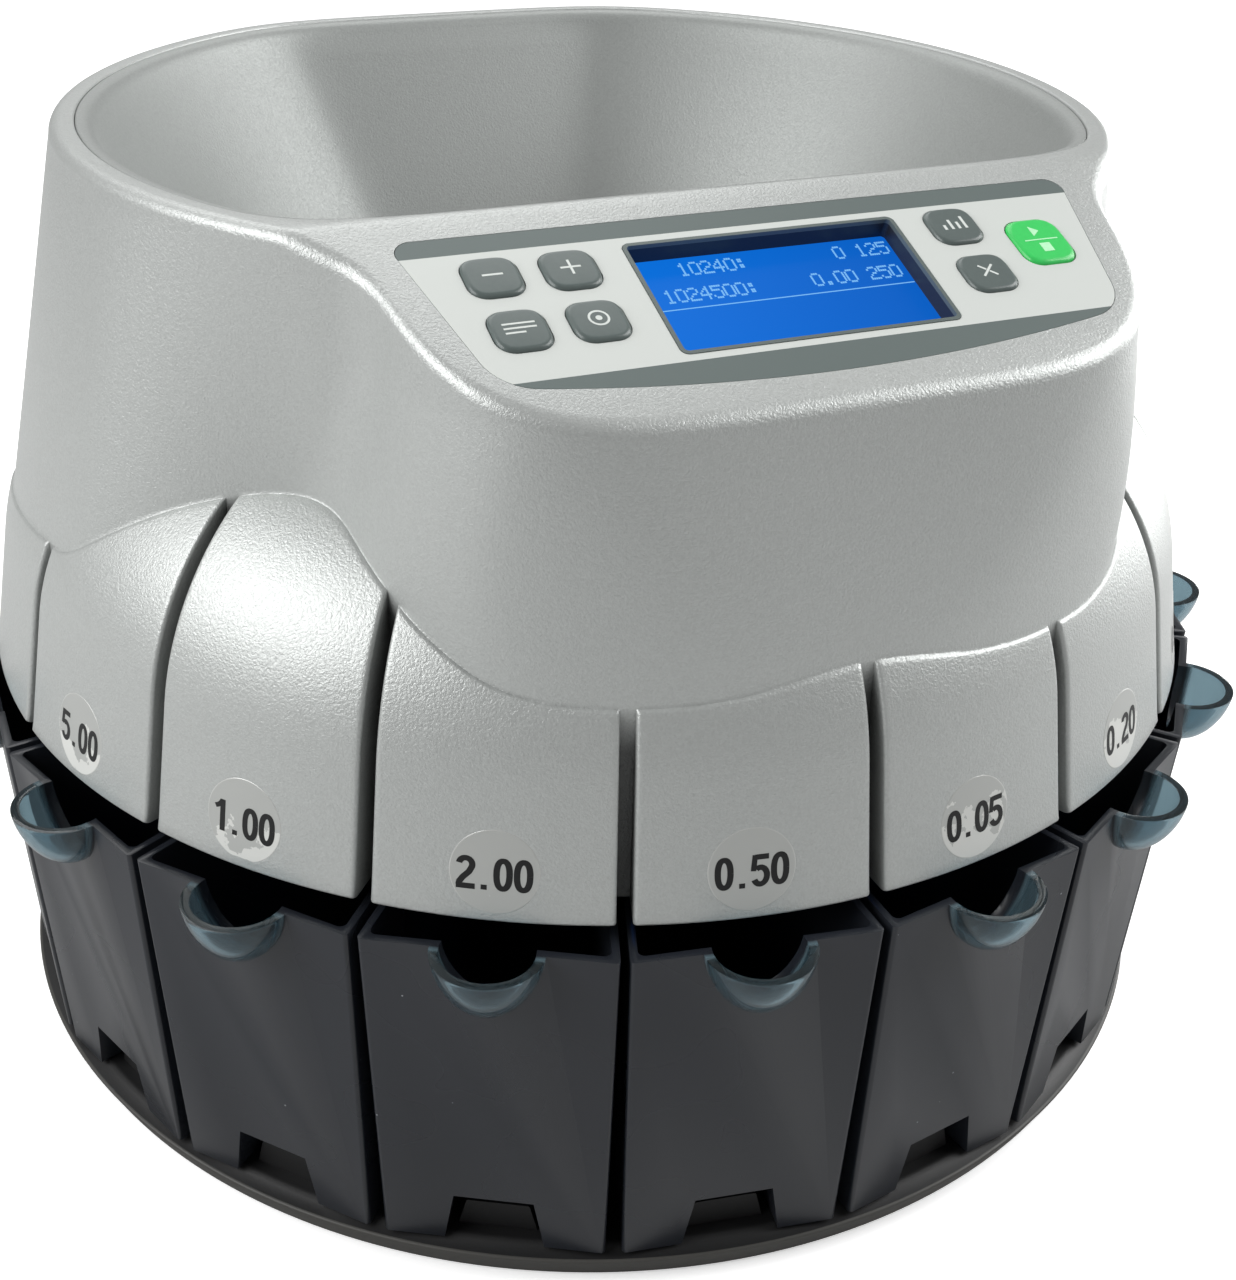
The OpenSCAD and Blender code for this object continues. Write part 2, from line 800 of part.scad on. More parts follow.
module main_board() {
    color(board_green)
        on_ring()
            translate([-main_w / 2, main_y, ledge_z + standoff_h])
                cube([main_w, main_d, board_t]);
    color(black)
        on_ring() {
            for (x = [-1, 1])
                for (y = [standoff_inset, main_d - standoff_inset])
                    translate([x * (main_w / 2 - standoff_inset), main_y + y, ledge_z])
                        cylinder(h = standoff_h, r = 3, $fn = 24);
            // processor, connector strip and capacitor
            translate([-main_w / 2 + 35, main_y + 20, main_top])
                cube([16, 16, 2]);
            translate([main_w / 2 - 45, main_y + 10, main_top])
                cube([34, 8, 10]);
            translate([main_w / 2 - 25, main_y + 50, main_top])
                cylinder(h = 20, r = 6, $fn = 32);
        }
}

supply_w = 36;
supply_d = 30;
supply_h = 34;
supply_y = 14;

module power_supply() {
    color(steel)
        on_ring()
            translate([-bracket_w / 2 - supply_w - 5, supply_y, ledge_z])
                cube([supply_w, supply_d, supply_h]);
}

// ---- cover and hopper -------------------------------------------------------------------------------

petal_half = (pitch - groove_deg) / 2;
groove_wall = 0.1;
petal_steps = [for (k = [-5:5]) abs(k) == 5 ? sign(k) * (petal_half + groove_wall) : k * petal_half / 4];
petal_rows = [0, 0.2, 0.38, 0.55, 0.7, 0.83, 0.93];
wall_rows = [0, 0.08, 0.2, 0.4, 0.7, 1];
inner_rows = [1, 0.75, 0.5, 0.25, 0];
edge_steps = [0, 30, 60, 90];

// Lower part of one column, from the skirt to the height where the petals meet the wall.
function petal_column(t, zj, rows, grooved, inset) = [for (s = rows) let (z = mix(skirt_z, zj, s))
    [t, (grooved ? groove_r(t, z, zj) : cover_r(t, z)) - inset, z]];

// One column of the cover at angle t; a grooved column is set back by the groove's depth, and the inside
// beside a groove is turned by one wall thickness.
function cover_column(t, grooved, turn) = let (
        re = edge_radius(t),
        rm = mouth_r(t),
        panel_t = cover_t / cos(panel_tilt),
        ri = min(re - edge_r, cover_r(t, top_z(t, re) - edge_r - panel_t) - cover_t),
        zj = junction_z(t, skirt_z + 20, petal_top_z, 12),
        ze = top_z(t, re) - edge_r - 1)
    concat(
        petal_column(t, zj, petal_rows, grooved, 0),
        [for (s = wall_rows) let (z = mix(zj, ze, s)) [t, cover_r(t, z), z]],
        [for (a = edge_steps) let (r = re - edge_r * (1 - cos(a)))
            [t, r, top_z(t, r) - edge_r * (1 - sin(a))]],
        [[t, rm, top_z(t, rm)], [t, rm, under_z(t, rm) - panel_t], [t, ri, under_z(t, ri) - panel_t]],
        petal_column(t + turn, zj, inner_rows, grooved, cover_t));

last_step = len(petal_steps) - 1;
rear_from = cup_deg[cup_n - 1] + petal_half;   // the columns behind the petals start here
rear_n = 20;
wall_turn = asin(cover_t / skirt_r);           // one wall thickness, seen as an angle
// Turn of the inside of petal i's column k.
function inner_turn(i, k) = k <= 1 && i > 0 ? wall_turn
    : k >= last_step - 1 && i < cup_n - 1 ? -wall_turn : 0;

// Angle of each column, whether it runs along the floor of a groove, and the turn of its inside.
cover_rays = concat(
    [for (i = [0:cup_n - 1]) for (k = [0:last_step])
        if (!(i == 0 && k == 0) && !(i == cup_n - 1 && k == last_step))
            [cup_deg[i] + petal_steps[k], k == 0 || k == last_step, inner_turn(i, k)]],
    [for (k = [1:rear_n - 1]) let (t = mix(rear_from, 360 - rear_from, k / rear_n))
        [t > 180 ? t - 360 : t, false, 0]]);

module top_cover() {
    color(silver)
        difference() {
            on_ring()
                ring_skin([for (q = cover_rays) cover_column(q[0], q[1], q[2])]);
            on_panel() {
                translate([0, 0, -overlay_t])
                    linear_extrude(10)
                        polygon(overlay_outline(seat_gap));
                translate([0, 0, -20])
                    linear_extrude(30)
                        panel_holes();
            }
        }
}

hopper_rows = [0, 0.25, 0.5, 0.75, 1];

// Funnel radius at depth share s: a cone from the mouth to the throat, cut by a flat sloping back.
function funnel_r(t, s) = let (
        cone = mix(mouth_r(t) - seat_gap - lip_w, throat_r, s),
        back = mix(tower_flat_y - rim_w - lip_w - 2, back_fall_y, s) / max(back_line, -cos(t)))
    soft_min(cone, back, funnel_p);

function hopper_column(t) = let (
        rm = mouth_r(t) - seat_gap,
        zl = rim_z - lip_drop)
    concat(
        [[t, rm, rim_z - cover_t], [t, rm, rim_z - 0.4]],
        [[t, rm - 1.5, rim_z - 0.6], [t, rm - 3.4, rim_z - 1.8]],
        [for (s = hopper_rows) [t, funnel_r(t, s), mix(zl, throat_z, s)]],
        [for (s = [1, 0.5]) [t, funnel_r(t, s) + hopper_t, mix(zl, throat_z, s)]],
        [[t, rm - lip_w + hopper_t, zl - 2]]);

module hopper() {
    color(silver)
        on_ring()
            ring_skin([for (q = cover_rays) hopper_column(q[0])]);
}

// ---- console ----------------------------------------------------------------------------------------

bezel_t = 0.9;
key_corner = 3.6;
// centre across, centre towards the user, width, height
keys = [[-61.7, -11.1, key_w, key_w], [-45.2, -10.9, key_w, key_w], [-61.5, 5, key_w, key_w],
    [-45.1, 4.9, key_w, key_w], [44.8, -11.5, key_w, key_w], [44.7, 4.5, key_w, key_w],
    [62.8, -3.5, start_w, start_h]];

// Overlay outline: straight top, sides that draw in, and a bowed bottom edge.
overlay_top = 24.5;
overlay_w = 79.6;
overlay_draw = 9.1;                         // how far each side draws in towards the bottom
overlay_low = 19.9;                         // depth of the bottom corners
overlay_bow = 27;                           // depth of the bottom edge in the middle
bow_w = 60;                                 // half width of the bowed part
bow_rise = 5.2;                             // rise of the bow at its ends
bow_slope = 0.18;                           // slope of the bottom edge beside the bow
function overlay_half(grow) = let (
        top = [overlay_w + grow, overlay_top + grow],
        low = [overlay_w - overlay_draw + grow, -overlay_low - grow])
    concat(corner_arc([0, top[1]], top, low, 4, 5),
        corner_arc(top, low, low - [20, 20 * bow_slope], 11.5, 6));
function overlay_outline(grow) = let (half = overlay_half(grow), n = len(half))
    concat(half,
        [for (i = [6:-1:-6]) [i / 6 * bow_w, bow_rise * pow(i / 6, 2) - overlay_bow - grow]],
        [for (i = [n - 1:-1:0]) [-half[i][0], half[i][1]]]);

// Opening of the display, grown by a distance.
module window_outline(grow) {
    soft_rect(window_w + 2 * grow, window_h + 2 * grow, window_corner + grow);
}

// Holes that the cover and the overlay have in common.
module panel_holes() {
    window_outline(bezel_t + bezel_gap);
    for (k = keys)
        translate([k[0], -k[1]])
            soft_rect(k[2] + 2 * key_gap, k[3] + 2 * key_gap, key_corner);
}

module control_overlay() {
    color("whitesmoke")
        on_panel()
            translate([0, 0, -overlay_t])
                linear_extrude(overlay_t)
                    difference() {
                        polygon(overlay_outline(0));
                        panel_holes();
                    }
}

module lcd_bezel() {
    color(black)
        on_panel()
            translate([0, 0, -window_d])
                linear_extrude(window_d + 0.2)
                    difference() {
                        window_outline(bezel_t);
                        window_outline(0);
                    }
}

lcd_t = 3;
lcd_w = 71;
lcd_h = 41;

module lcd_module() {
    color("royalblue")
        on_panel()
            translate([-lcd_w / 2, -lcd_h / 2, -window_d - lcd_t])
                cube([lcd_w, lcd_h, lcd_t]);
    color(board_green)
        on_panel()
            translate([-lcd_w / 2, -lcd_h / 2 - 3, -window_d - lcd_t - board_t])
                cube([lcd_w, lcd_h + 6, board_t]);
}

cap_low = -cover_t - gap;                   // top of a key's retaining flange
flange_t = 0.8;
push_w = 6;
push_h = 1.2;
board_z = cap_low - flange_t - key_travel - push_h - gap;
key_board_end = 71;                         // outer end of a key board
key_board_low = 15;                         // reach of a key board towards the user
key_board_high = 21;                        // reach of a key board towards the hopper
post_x = 53.4;                              // the posts stand between the key rows

module key(i) {
    k = keys[i];
    on_panel()
        translate([k[0], -k[1], 0]) {
            translate([0, 0, cap_low - 0.4])
                linear_extrude(key_rise - 0.4 - cap_low + 0.4)
                    soft_rect(k[2], k[3], key_corner - 0.3);
            translate([0, 0, key_rise - 0.5])
                linear_extrude(0.5)
                    soft_rect(k[2] - 1, k[3] - 1, key_corner - 0.6);
            translate([0, 0, cap_low - flange_t])
                linear_extrude(flange_t)
                    square([k[2] + 1.6, k[3] + 1.6], center = true);
        }
}

module key_minus() { color("dimgray") key(0); }
module key_plus() { color("dimgray") key(1); }
module key_preset() { color("dimgray") key(2); }
module key_set() { color("dimgray") key(3); }
module key_report() { color("dimgray") key(4); }
module key_clear() { color("dimgray") key(5); }
module key_start() { color("limegreen") key(6); }

// Board with one low push switch under each key, hung from the panel by two posts.
module key_board(low, high, side) {
    x0 = side < 0 ? -key_board_end : lcd_w / 2 + 1;
    w = key_board_end - lcd_w / 2 - 1;
    color(board_green)
        on_panel()
            translate([x0, -key_board_low, board_z - board_t])
                cube([w, key_board_low + key_board_high, board_t]);
    color(black)
        on_panel()
            for (i = [low:high])
                translate([keys[i][0] - push_w / 2, -keys[i][1] - push_w / 2, board_z])
                    cube([push_w, push_w, push_h]);
    color(silver)
        on_panel()
            for (y = [3 - key_board_low, key_board_high - 3])
                translate([side * post_x, y, board_z])
                    cylinder(h = -board_z - cover_t - gap, r = 1.1, $fn = 24);
}

module key_board_left() { key_board(0, 3, -1); }
module key_board_right() { key_board(4, 6, 1); }

// ---- cups -------------------------------------------------------------------------------------------

cup_side = 9.65;
cup_side_low = 9.32;

// Plan of a cup at one height: front distance, half angle of the sides and inset of the wall.
function cup_plan(front, half, inset, r) = let (
        w0 = cup_back * tan(half) - inset / cos(half),
        w1 = front * tan(half) - inset / cos(half))
    rounded([[-w0, -cup_back - inset], [-w1, -front + inset], [w1, -front + inset],
        [w0, -cup_back - inset]], r, 3);

function cup_at(z) = let (s = (z - cup_low_z) / (cup_top_z - cup_low_z))
    [mix(cup_front_low, cup_front_top, s), mix(cup_side_low, cup_side, s)];

module cup_block(z0, z1, inset, r) {
    a = cup_at(z0);
    b = cup_at(z1);
    taper(cup_plan(a[0], a[1], inset, r), z0, cup_plan(b[0], b[1], inset, r), z1);
}

channel_low_w = channel_w + 5.5;

module channel(grow) {
    translate([0, -cup_back + 3, 0])
        rotate([90, 0, 0])
            linear_extrude(cup_front_top - cup_back + 10)
                polygon([[-channel_low_w / 2 - grow, cup_low_z - 2],
                    [channel_low_w / 2 + grow, cup_low_z - 2],
                    [channel_w / 2 + grow, cup_low_z + channel_h + grow],
                    [-channel_w / 2 - grow, cup_low_z + channel_h + grow]]);
}

// Bowl of revolution that stands out of the front wall; wall sets it in from the outer surface.
module scoop_bowl(wall) {
    r = scoop_r - wall;
    h = scoop_h - wall;
    translate([0, -cup_front_top, cup_top_z])
        rotate_extrude($fn = 48)
            polygon(concat([[0, wall > 0 ? 1 : 0], [r, wall > 0 ? 1 : 0]],
                [for (a = [0:15:90]) [r * cos(a), -h * pow(sin(a), 1.25)]]));
}

module cup(i) {
    color(slate)
        on_ring()
            rotate([0, 0, cup_deg[i]])
                difference() {
                    union() {
                        cup_block(cup_low_z, cup_top_z, 0, 2.5);
                        intersection() {
                            scoop_bowl(0);
                            translate([-scoop_r, -cup_front_top - scoop_r - 1, cup_top_z - scoop_h - 1])
                                cube([2 * scoop_r, scoop_r + 3, scoop_h + 2]);
                        }
                    }
                    difference() {
                        cup_block(cup_low_z + cup_t, cup_top_z + 1, cup_t, 1.5);
                        channel(cup_t);
                    }
                    scoop_bowl(cup_t);
                    channel(0);
                }
}

module cup_01() { cup(0); }
module cup_02() { cup(1); }
module cup_03() { cup(2); }
module cup_04() { cup(3); }
module cup_05() { cup(4); }
module cup_06() { cup(5); }
module cup_07() { cup(6); }
module cup_08() { cup(7); }
module cup_09() { cup(8); }
module cup_10() { cup(9); }

base_tray();
rubber_feet();
core_drum();
back_cover();
sorting_deck();
coin_rail();
sensor_strip();
top_cover();
hopper();
lcd_bezel();
lcd_module();
control_overlay();
key_board_left();
key_board_right();
key_minus();
key_plus();
key_preset();
key_set();
key_report();
key_clear();
key_start();
cup_01();
cup_02();
cup_03();
cup_04();
cup_05();
cup_06();
cup_07();
cup_08();
cup_09();
cup_10();
coin_disc();
disc_cap();
sweeper_wheel();
drive_shaft();
bearings();
driven_pulley();
drive_belt();
motor_pulley();
motor_shaft();
drive_motor();
motor_bracket();
bracket_posts();
main_board();
power_supply();
mains_inlet();
switch_housing();
power_switch();
printer_port();
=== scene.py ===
# Coin sorting machine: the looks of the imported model, piece by piece.
# The cover, the hopper, the panel, the cups and the base are drawn here in full; the back cover and the works
# inside keep their CAD shapes.

import math

import bmesh
import bpy
import numpy as np
from mathutils import Matrix, Vector


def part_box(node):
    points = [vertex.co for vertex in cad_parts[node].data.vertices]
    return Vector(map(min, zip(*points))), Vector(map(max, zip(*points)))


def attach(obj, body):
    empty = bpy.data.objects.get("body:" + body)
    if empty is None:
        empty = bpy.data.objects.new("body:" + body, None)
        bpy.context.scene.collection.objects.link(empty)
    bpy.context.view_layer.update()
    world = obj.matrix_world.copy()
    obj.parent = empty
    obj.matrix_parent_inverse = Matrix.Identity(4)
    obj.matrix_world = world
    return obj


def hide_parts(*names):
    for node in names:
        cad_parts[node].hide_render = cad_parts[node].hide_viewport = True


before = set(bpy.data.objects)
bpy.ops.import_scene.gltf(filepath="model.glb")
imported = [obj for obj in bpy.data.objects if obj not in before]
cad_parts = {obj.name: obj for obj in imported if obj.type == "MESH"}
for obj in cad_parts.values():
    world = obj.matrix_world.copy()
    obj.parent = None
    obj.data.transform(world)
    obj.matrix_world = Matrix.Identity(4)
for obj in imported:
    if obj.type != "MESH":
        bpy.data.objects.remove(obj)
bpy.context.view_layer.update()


# ---- Studio ------------------------------------------------------------------------------------
# A white table and a dim room. Softboxes stand on the left and the right, with a low white card on the far
# right, and a wide one hangs at the back: the sides are bright and what faces the camera is darker.

camera_place = (-0.1801, -0.4167, 0.3404)
camera_heading = -24.10          # degrees anticlockwise from straight ahead, so it looks to the right
camera_dip = 29.34               # degrees below the horizon
camera_roll = 1.73
camera_lens = 51.70


def new_object(name, data):
    thing = bpy.data.objects.new(name, data)
    bpy.context.scene.collection.objects.link(thing)
    return thing


turn = (Matrix.Rotation(math.radians(camera_heading), 4, "Z")
        @ Matrix.Rotation(math.radians(90 - camera_dip), 4, "X")
        @ Matrix.Rotation(math.radians(camera_roll), 4, "Z"))
camera_data = bpy.data.cameras.new("camera")
camera_data.lens = camera_lens
camera_data.sensor_width = 36
camera_data.clip_start = 0.01
camera = new_object("camera", camera_data)
camera.matrix_world = Matrix.Translation(camera_place) @ turn
bpy.context.scene.camera = camera
bpy.context.scene.view_settings.view_transform = "Standard"


def linear(hex_colour):
    """sRGB hex colour as linear RGBA: c/12.92 below 0.04045, else ((c + 0.055) / 1.055) ** 2.4."""
    channels = [int(hex_colour[i:i + 2], 16) / 255 for i in (1, 3, 5)]
    return [c / 12.92 if c <= 0.04045 else ((c + 0.055) / 1.055) ** 2.4 for c in channels] + [1.0]


def add(material, kind, settings=None, **links):
    """Adds a node; links name its inputs (spaces as _) and give a value or another node's output."""
    node = material.node_tree.nodes.new(kind)
    for name, value in (settings or {}).items():
        setattr(node, name, value)
    for name, value in links.items():
        key = int(name[1:]) if name[0] == "i" and name[1:].isdigit() else name.replace("_", " ")
        if isinstance(value, bpy.types.NodeSocket):
            material.node_tree.links.new(value, node.inputs[key])
        else:
            node.inputs[key].default_value = value
    return node


def new_material(name):
    material = bpy.data.materials.new(name)
    material.use_nodes = True
    material.node_tree.nodes.clear()
    return material


def object_place(m):
    return add(m, "ShaderNodeTexCoord").outputs["Object"]


def noise(m, scale, detail, **inputs):
    """Noise over the piece's own place, which runs from about 0.3 to 0.7."""
    return add(m, "ShaderNodeTexNoise", None, Vector=object_place(m), Scale=scale, Detail=detail,
               **inputs).outputs["Fac"]


def spread(m, value, low, high):
    """Stretches a noise over a range."""
    return add(m, "ShaderNodeMapRange", None, Value=value, From_Min=0.3, From_Max=0.7, To_Min=low,
               To_Max=high).outputs[0]


def between(m, value, low, high):
    """Maps 0 to 1 onto a range."""
    return add(m, "ShaderNodeMapRange", None, Value=value, To_Min=low, To_Max=high).outputs[0]


def maths(m, operation, *values):
    inputs = {f"i{i}": value for i, value in enumerate(values)}
    return add(m, "ShaderNodeMath", {"operation": operation}, **inputs).outputs[0]


def toned(m, shade, tone):
    """A colour made darker or lighter by a factor."""
    return add(m, "ShaderNodeVectorMath", {"operation": "SCALE"}, i0=linear(shade)[:3], Scale=tone).outputs[0]


def blended(m, factor, a, b):
    return add(m, "ShaderNodeMix", {"data_type": "RGBA"}, Factor=factor, A=a, B=b).outputs[2]


def bump(m, height, strength, distance):
    return add(m, "ShaderNodeBump", None, Strength=strength, Distance=distance, Height=height).outputs[0]


def attribute(m, name):
    return add(m, "ShaderNodeAttribute", {"attribute_name": name}).outputs["Fac"]


def uv_place(m, name):
    return add(m, "ShaderNodeUVMap", {"uv_map": name}).outputs["UV"]


def surface(m, **inputs):
    """Ends a material with one principled shader."""
    skin = add(m, "ShaderNodeBsdfPrincipled", None, **inputs)
    add(m, "ShaderNodeOutputMaterial", None, Surface=skin.outputs[0])
    return m


machine_middle = np.array([0, 0, 0.12])


def softbox(name, azimuth, elevation, distance, width, height, watts):
    """Area lamp on a sphere round the machine, facing its middle."""
    a, e = math.radians(azimuth), math.radians(elevation)
    outward = (math.sin(a) * math.cos(e), -math.cos(a) * math.cos(e), math.sin(e))
    lamp = bpy.data.lights.new(name, "AREA")
    lamp.shape = "RECTANGLE"
    lamp.size = width
    lamp.size_y = height
    lamp.energy = watts
    holder = new_object(name, lamp)
    holder.location = machine_middle + np.array(outward) * distance
    holder.rotation_mode = "QUATERNION"
    holder.rotation_quaternion = Vector(outward).to_track_quat("Z", "Y")


softbox("softbox_left", -88, 33, 1.6, 1.3, 1.0, 21)
softbox("softbox_right", 74, 34, 1.6, 1.3, 0.9, 21)
softbox("softbox_back", 178, 52, 1.6, 1.6, 0.9, 10)
softbox("card_right", 104, 6, 1.2, 0.8, 0.4, 6)

world = bpy.data.worlds.new("white_room")
bpy.context.scene.world = world
world.use_nodes = True
world.node_tree.nodes.clear()
room_strength = 0.22
path = add(world, "ShaderNodeLightPath")
shown = maths(world, "MAXIMUM", path.outputs["Is Camera Ray"], path.outputs["Is Transmission Ray"])
room = add(world, "ShaderNodeBackground", None, Color=linear("#FFFFFF"),
           Strength=between(world, shown, room_strength, 1.0))
add(world, "ShaderNodeOutputWorld", None, Surface=room.outputs[0])

table_top = new_material("white_laminate")
path = add(table_top, "ShaderNodeLightPath")
grey = add(table_top, "ShaderNodeBsdfDiffuse", None, Color=linear("#C6C6C6"))
matt = add(table_top, "ShaderNodeBsdfDiffuse", None, Color=linear("#F4F4F4"))
glow = add(table_top, "ShaderNodeEmission", None, Color=linear("#FFFFFF"), Strength=0.50)
both = add(table_top, "ShaderNodeAddShader", None, i0=matt.outputs[0], i1=glow.outputs[0])
seen = add(table_top, "ShaderNodeMixShader", None, Fac=path.outputs["Is Camera Ray"], i1=grey.outputs[0],
           i2=both.outputs[0])
add(table_top, "ShaderNodeOutputMaterial", None, Surface=seen.outputs[0])

table_half = 6.0
table = bpy.data.meshes.new("table")
table.from_pydata([(-table_half, -table_half, 0), (table_half, -table_half, 0), (table_half, table_half, 0),
                   (-table_half, table_half, 0)], [], [(0, 1, 2, 3)])
table.materials.append(table_top)
table_object = new_object("table", table)


# ---- Cover -------------------------------------------------------------------------------------
# The one-piece outer shell, moulded in silver-pigmented ABS with a spark-eroded grain. Tower, console
# and the ten petals are one skin; the petals are parted by grooves that run out where the wall begins.

disc_low, disc_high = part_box("coin_rail")
axis_y = (disc_low.y + disc_high.y) / 2 * 1000
cover_low, cover_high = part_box("top_cover")
rim_z = cover_high.z * 1000
skirt_z = cover_low.z * 1000
skirt_r = 159.0
cover_wall = 2.6
rim_edge = 3.0                   # radius of the rounded top edge
skirt_edge, mouth_edge = 0.8, 0.5    # radii of the skirt's lower edge and of the mouth's edge
top_wall = 2.8                   # wall of the rim and the panel
blend = 6.0                      # band that rounds the hollow between tower and console
junction_blend = 0.3             # band that rounds the hollow between wall and petals
petal_proud, petal_brow = 0.7, 0.5   # a petal's top edge stands proud of the wall, with this radius
petal_pitch = 20.0
petal_end = 90                   # degrees from the front where the petals stop
groove_half = 1.66               # half width of a groove
groove_depth = 9.8
groove_r = 150.0                 # distance from the axis at which a groove's width is taken
petal_edge = 1.0                 # radius of a petal's rounded edge
petal_draft = math.radians(10.3)
petal_knee_z = 134.0
petal_arc = 60.0
tower_r, tower_back, tower_flat = 129.5, 10.0, 130.5
rim_width, lip_gap = 5.5, 1.5
rim_square, mouth_square = 40, 14    # squareness of the corners at the flat back and at the mouth's front
flare_from, flare_span = 52, 26      # degrees from the front over which the tower's flare sets in
side_on = 0.02                   # smallest cosine that a flat edge is divided by
panel_tilt = math.radians(21.3)
panel_y, panel_z = 102.4, 220.4
console_top = (88.0, 135.6, 5.2)     # half width, reach, squareness at panel height
console_low = (99.0, 144.4, 3.5)     # the same where it runs into the petals
console_cap = 147.9                  # no part of its front lies further out than this
console_low_z = 160.0
console_top_z = panel_z - (console_top[1] - panel_y) * math.tan(panel_tilt)
ridge_y = panel_y - (rim_z - panel_z) / math.tan(panel_tilt)


def smooth_step(x):
    """0 below 0, 1 above 1, and 3x^2 - 2x^3 between."""
    c = np.clip(x, 0, 1)
    return c * c * (3 - 2 * c)


def soft_max(a, b, k):
    """The larger of two values, rounded over a band k wide: max + (k - |a - b|)^2 / 4k."""
    return np.maximum(a, b) + np.maximum(0, k - np.abs(a - b)) ** 2 / (4 * k)


def soft_min(a, b, p):
    """The smaller of two values, rounded: (a^-p + b^-p)^(-1/p)."""
    return (a ** -p + b ** -p) ** (-1 / p)


def tower_top_r(t):
    """Rim outline: a circle centred behind the axis, cut by the flat back."""
    circle = -tower_back * np.cos(t) + np.sqrt(tower_r ** 2 - (tower_back * np.sin(t)) ** 2)
    flat = tower_flat / np.maximum(side_on, -np.cos(t))
    return soft_min(circle, flat, rim_square)


def tower_wall_r(t, z):
    """Straight line from the rim to the skirt, which fades to an upright wall beside the console."""
    top = tower_top_r(t)
    flare = smooth_step((np.degrees(np.abs(t)) - flare_from) / flare_span)
    return top + (skirt_r - top) * flare * (rim_z - z) / (rim_z - skirt_z)


def console_r(t, z):
    """Superellipse (|sin t / w|^p + |cos t / d|^p)^(-1/p) that grows downwards, inside a circle."""
    s = np.maximum(0, (console_top_z - z) / (console_top_z - console_low_z))
    w, d = (a + (b - a) * s for a, b in zip(console_top[:2], console_low[:2]))
    p = console_top[2] + (console_low[2] - console_top[2]) * np.minimum(s, 1.2)
    front = np.maximum(np.cos(t), 1e-6)
    r = ((np.abs(np.sin(t)) / w) ** p + (front / d) ** p) ** (-1 / p)
    return np.where(np.cos(t) <= 0, 0, -soft_max(-r, -console_cap, 3))


petal_knee_r = skirt_r - (petal_knee_z - skirt_z) * math.tan(petal_draft)
arc_r = petal_knee_r - petal_arc * math.cos(petal_draft)
arc_z = petal_knee_z - petal_arc * math.sin(petal_draft)


def petal_r(z):
    """Drafted straight line up to the knee, then an arc that starts in the same direction."""
    arc = arc_r + np.sqrt(np.maximum(0, petal_arc ** 2 - (z - arc_z) ** 2))
    return np.where(z <= petal_knee_z, skirt_r - (z - skirt_z) * math.tan(petal_draft), arc)


def wall_r(t, z):
    return soft_max(tower_wall_r(t, z), console_r(t, z), blend)


def groove_drop(t, r):
    """Depth of the skin below the petal: 0 on it, a rounded edge, then the groove's floor."""
    degrees = np.degrees(t)
    seam = np.round(degrees / petal_pitch) * petal_pitch
    d = np.radians(np.abs(degrees - seam)) * r
    inside = np.clip(groove_half + petal_edge - d, 0, petal_edge)
    rounding = petal_edge - np.sqrt(np.maximum(0, petal_edge ** 2 - inside ** 2))
    drop = np.where(d < groove_half - 0.004, groove_depth, rounding)
    return np.where(np.abs(seam) < petal_end, drop, 0)


def junction_z(t):
    """Height where the petals' dome meets the wall, found by halving the interval."""
    low, high = np.full_like(t, skirt_z + 20), np.full_like(t, arc_z + petal_arc - 0.05)
    for _ in range(24):
        mid = (low + high) / 2
        petal_wins = petal_r(mid) > wall_r(t, mid) + petal_proud
        low, high = np.where(petal_wins, mid, low), np.where(petal_wins, high, mid)
    return (low + high) / 2


def cover_r(t, z):
    """Petals and wall; a petal's top edge is rounded, and a groove ends at the wall below that edge."""
    zj = junction_z(t)
    near = np.clip(petal_brow - (zj - z), 0, petal_brow)
    rounding = petal_brow - np.sqrt(petal_brow ** 2 - near ** 2)
    dome = np.where(z > zj + 1e-6, 0, petal_r(z) - rounding - groove_drop(t, groove_r))
    return soft_max(wall_r(t, np.maximum(z, zj)), dome, junction_blend)


def top_z(t, r):
    """Flat rim behind the ridge, sloping panel in front of it, with the ridge rounded off."""
    slope = panel_z + (panel_y - r * np.cos(t)) * math.tan(panel_tilt)
    return -soft_max(-rim_z, -slope, 0.5)


def mouth_r(t):
    side = tower_top_r(t) - rim_width
    front = (ridge_y - lip_gap) / np.maximum(np.cos(t), side_on)
    return np.where(np.cos(t) <= side_on, side, soft_min(side, front, mouth_square))


def in_row(x, y, z):
    """Millimetres from the disc's axis, to metres in the row frame."""
    return np.stack([x, y + axis_y, z], -1) / 1000


def round_axis(r, t, z):
    """Distance from the axis, angle from the front and height, to row metres."""
    return in_row(r * np.sin(t), -r * np.cos(t), z)


def full_turn(step):
    """Column of angles all the way round, a step in degrees apart."""
    return np.radians(np.arange(0, 360, step))[:, None]


def millimetres(mesh):
    """Places of a mesh's vertices in millimetres."""
    place = np.empty(len(mesh.vertices) * 3)
    mesh.vertices.foreach_get("co", place)
    return place.reshape(-1, 3) * 1000


def vertex_value(mesh, name, values):
    mesh.attributes.new(name, "FLOAT", "POINT").data.foreach_set("value", values)


def write_uv(mesh, name, flat_place):
    """UV layer that gives every vertex a flat place."""
    corners = np.empty(len(mesh.loops), int)
    mesh.loops.foreach_get("vertex_index", corners)
    mesh.uv_layers.new(name=name).uv.foreach_set("vector", flat_place[corners].ravel())


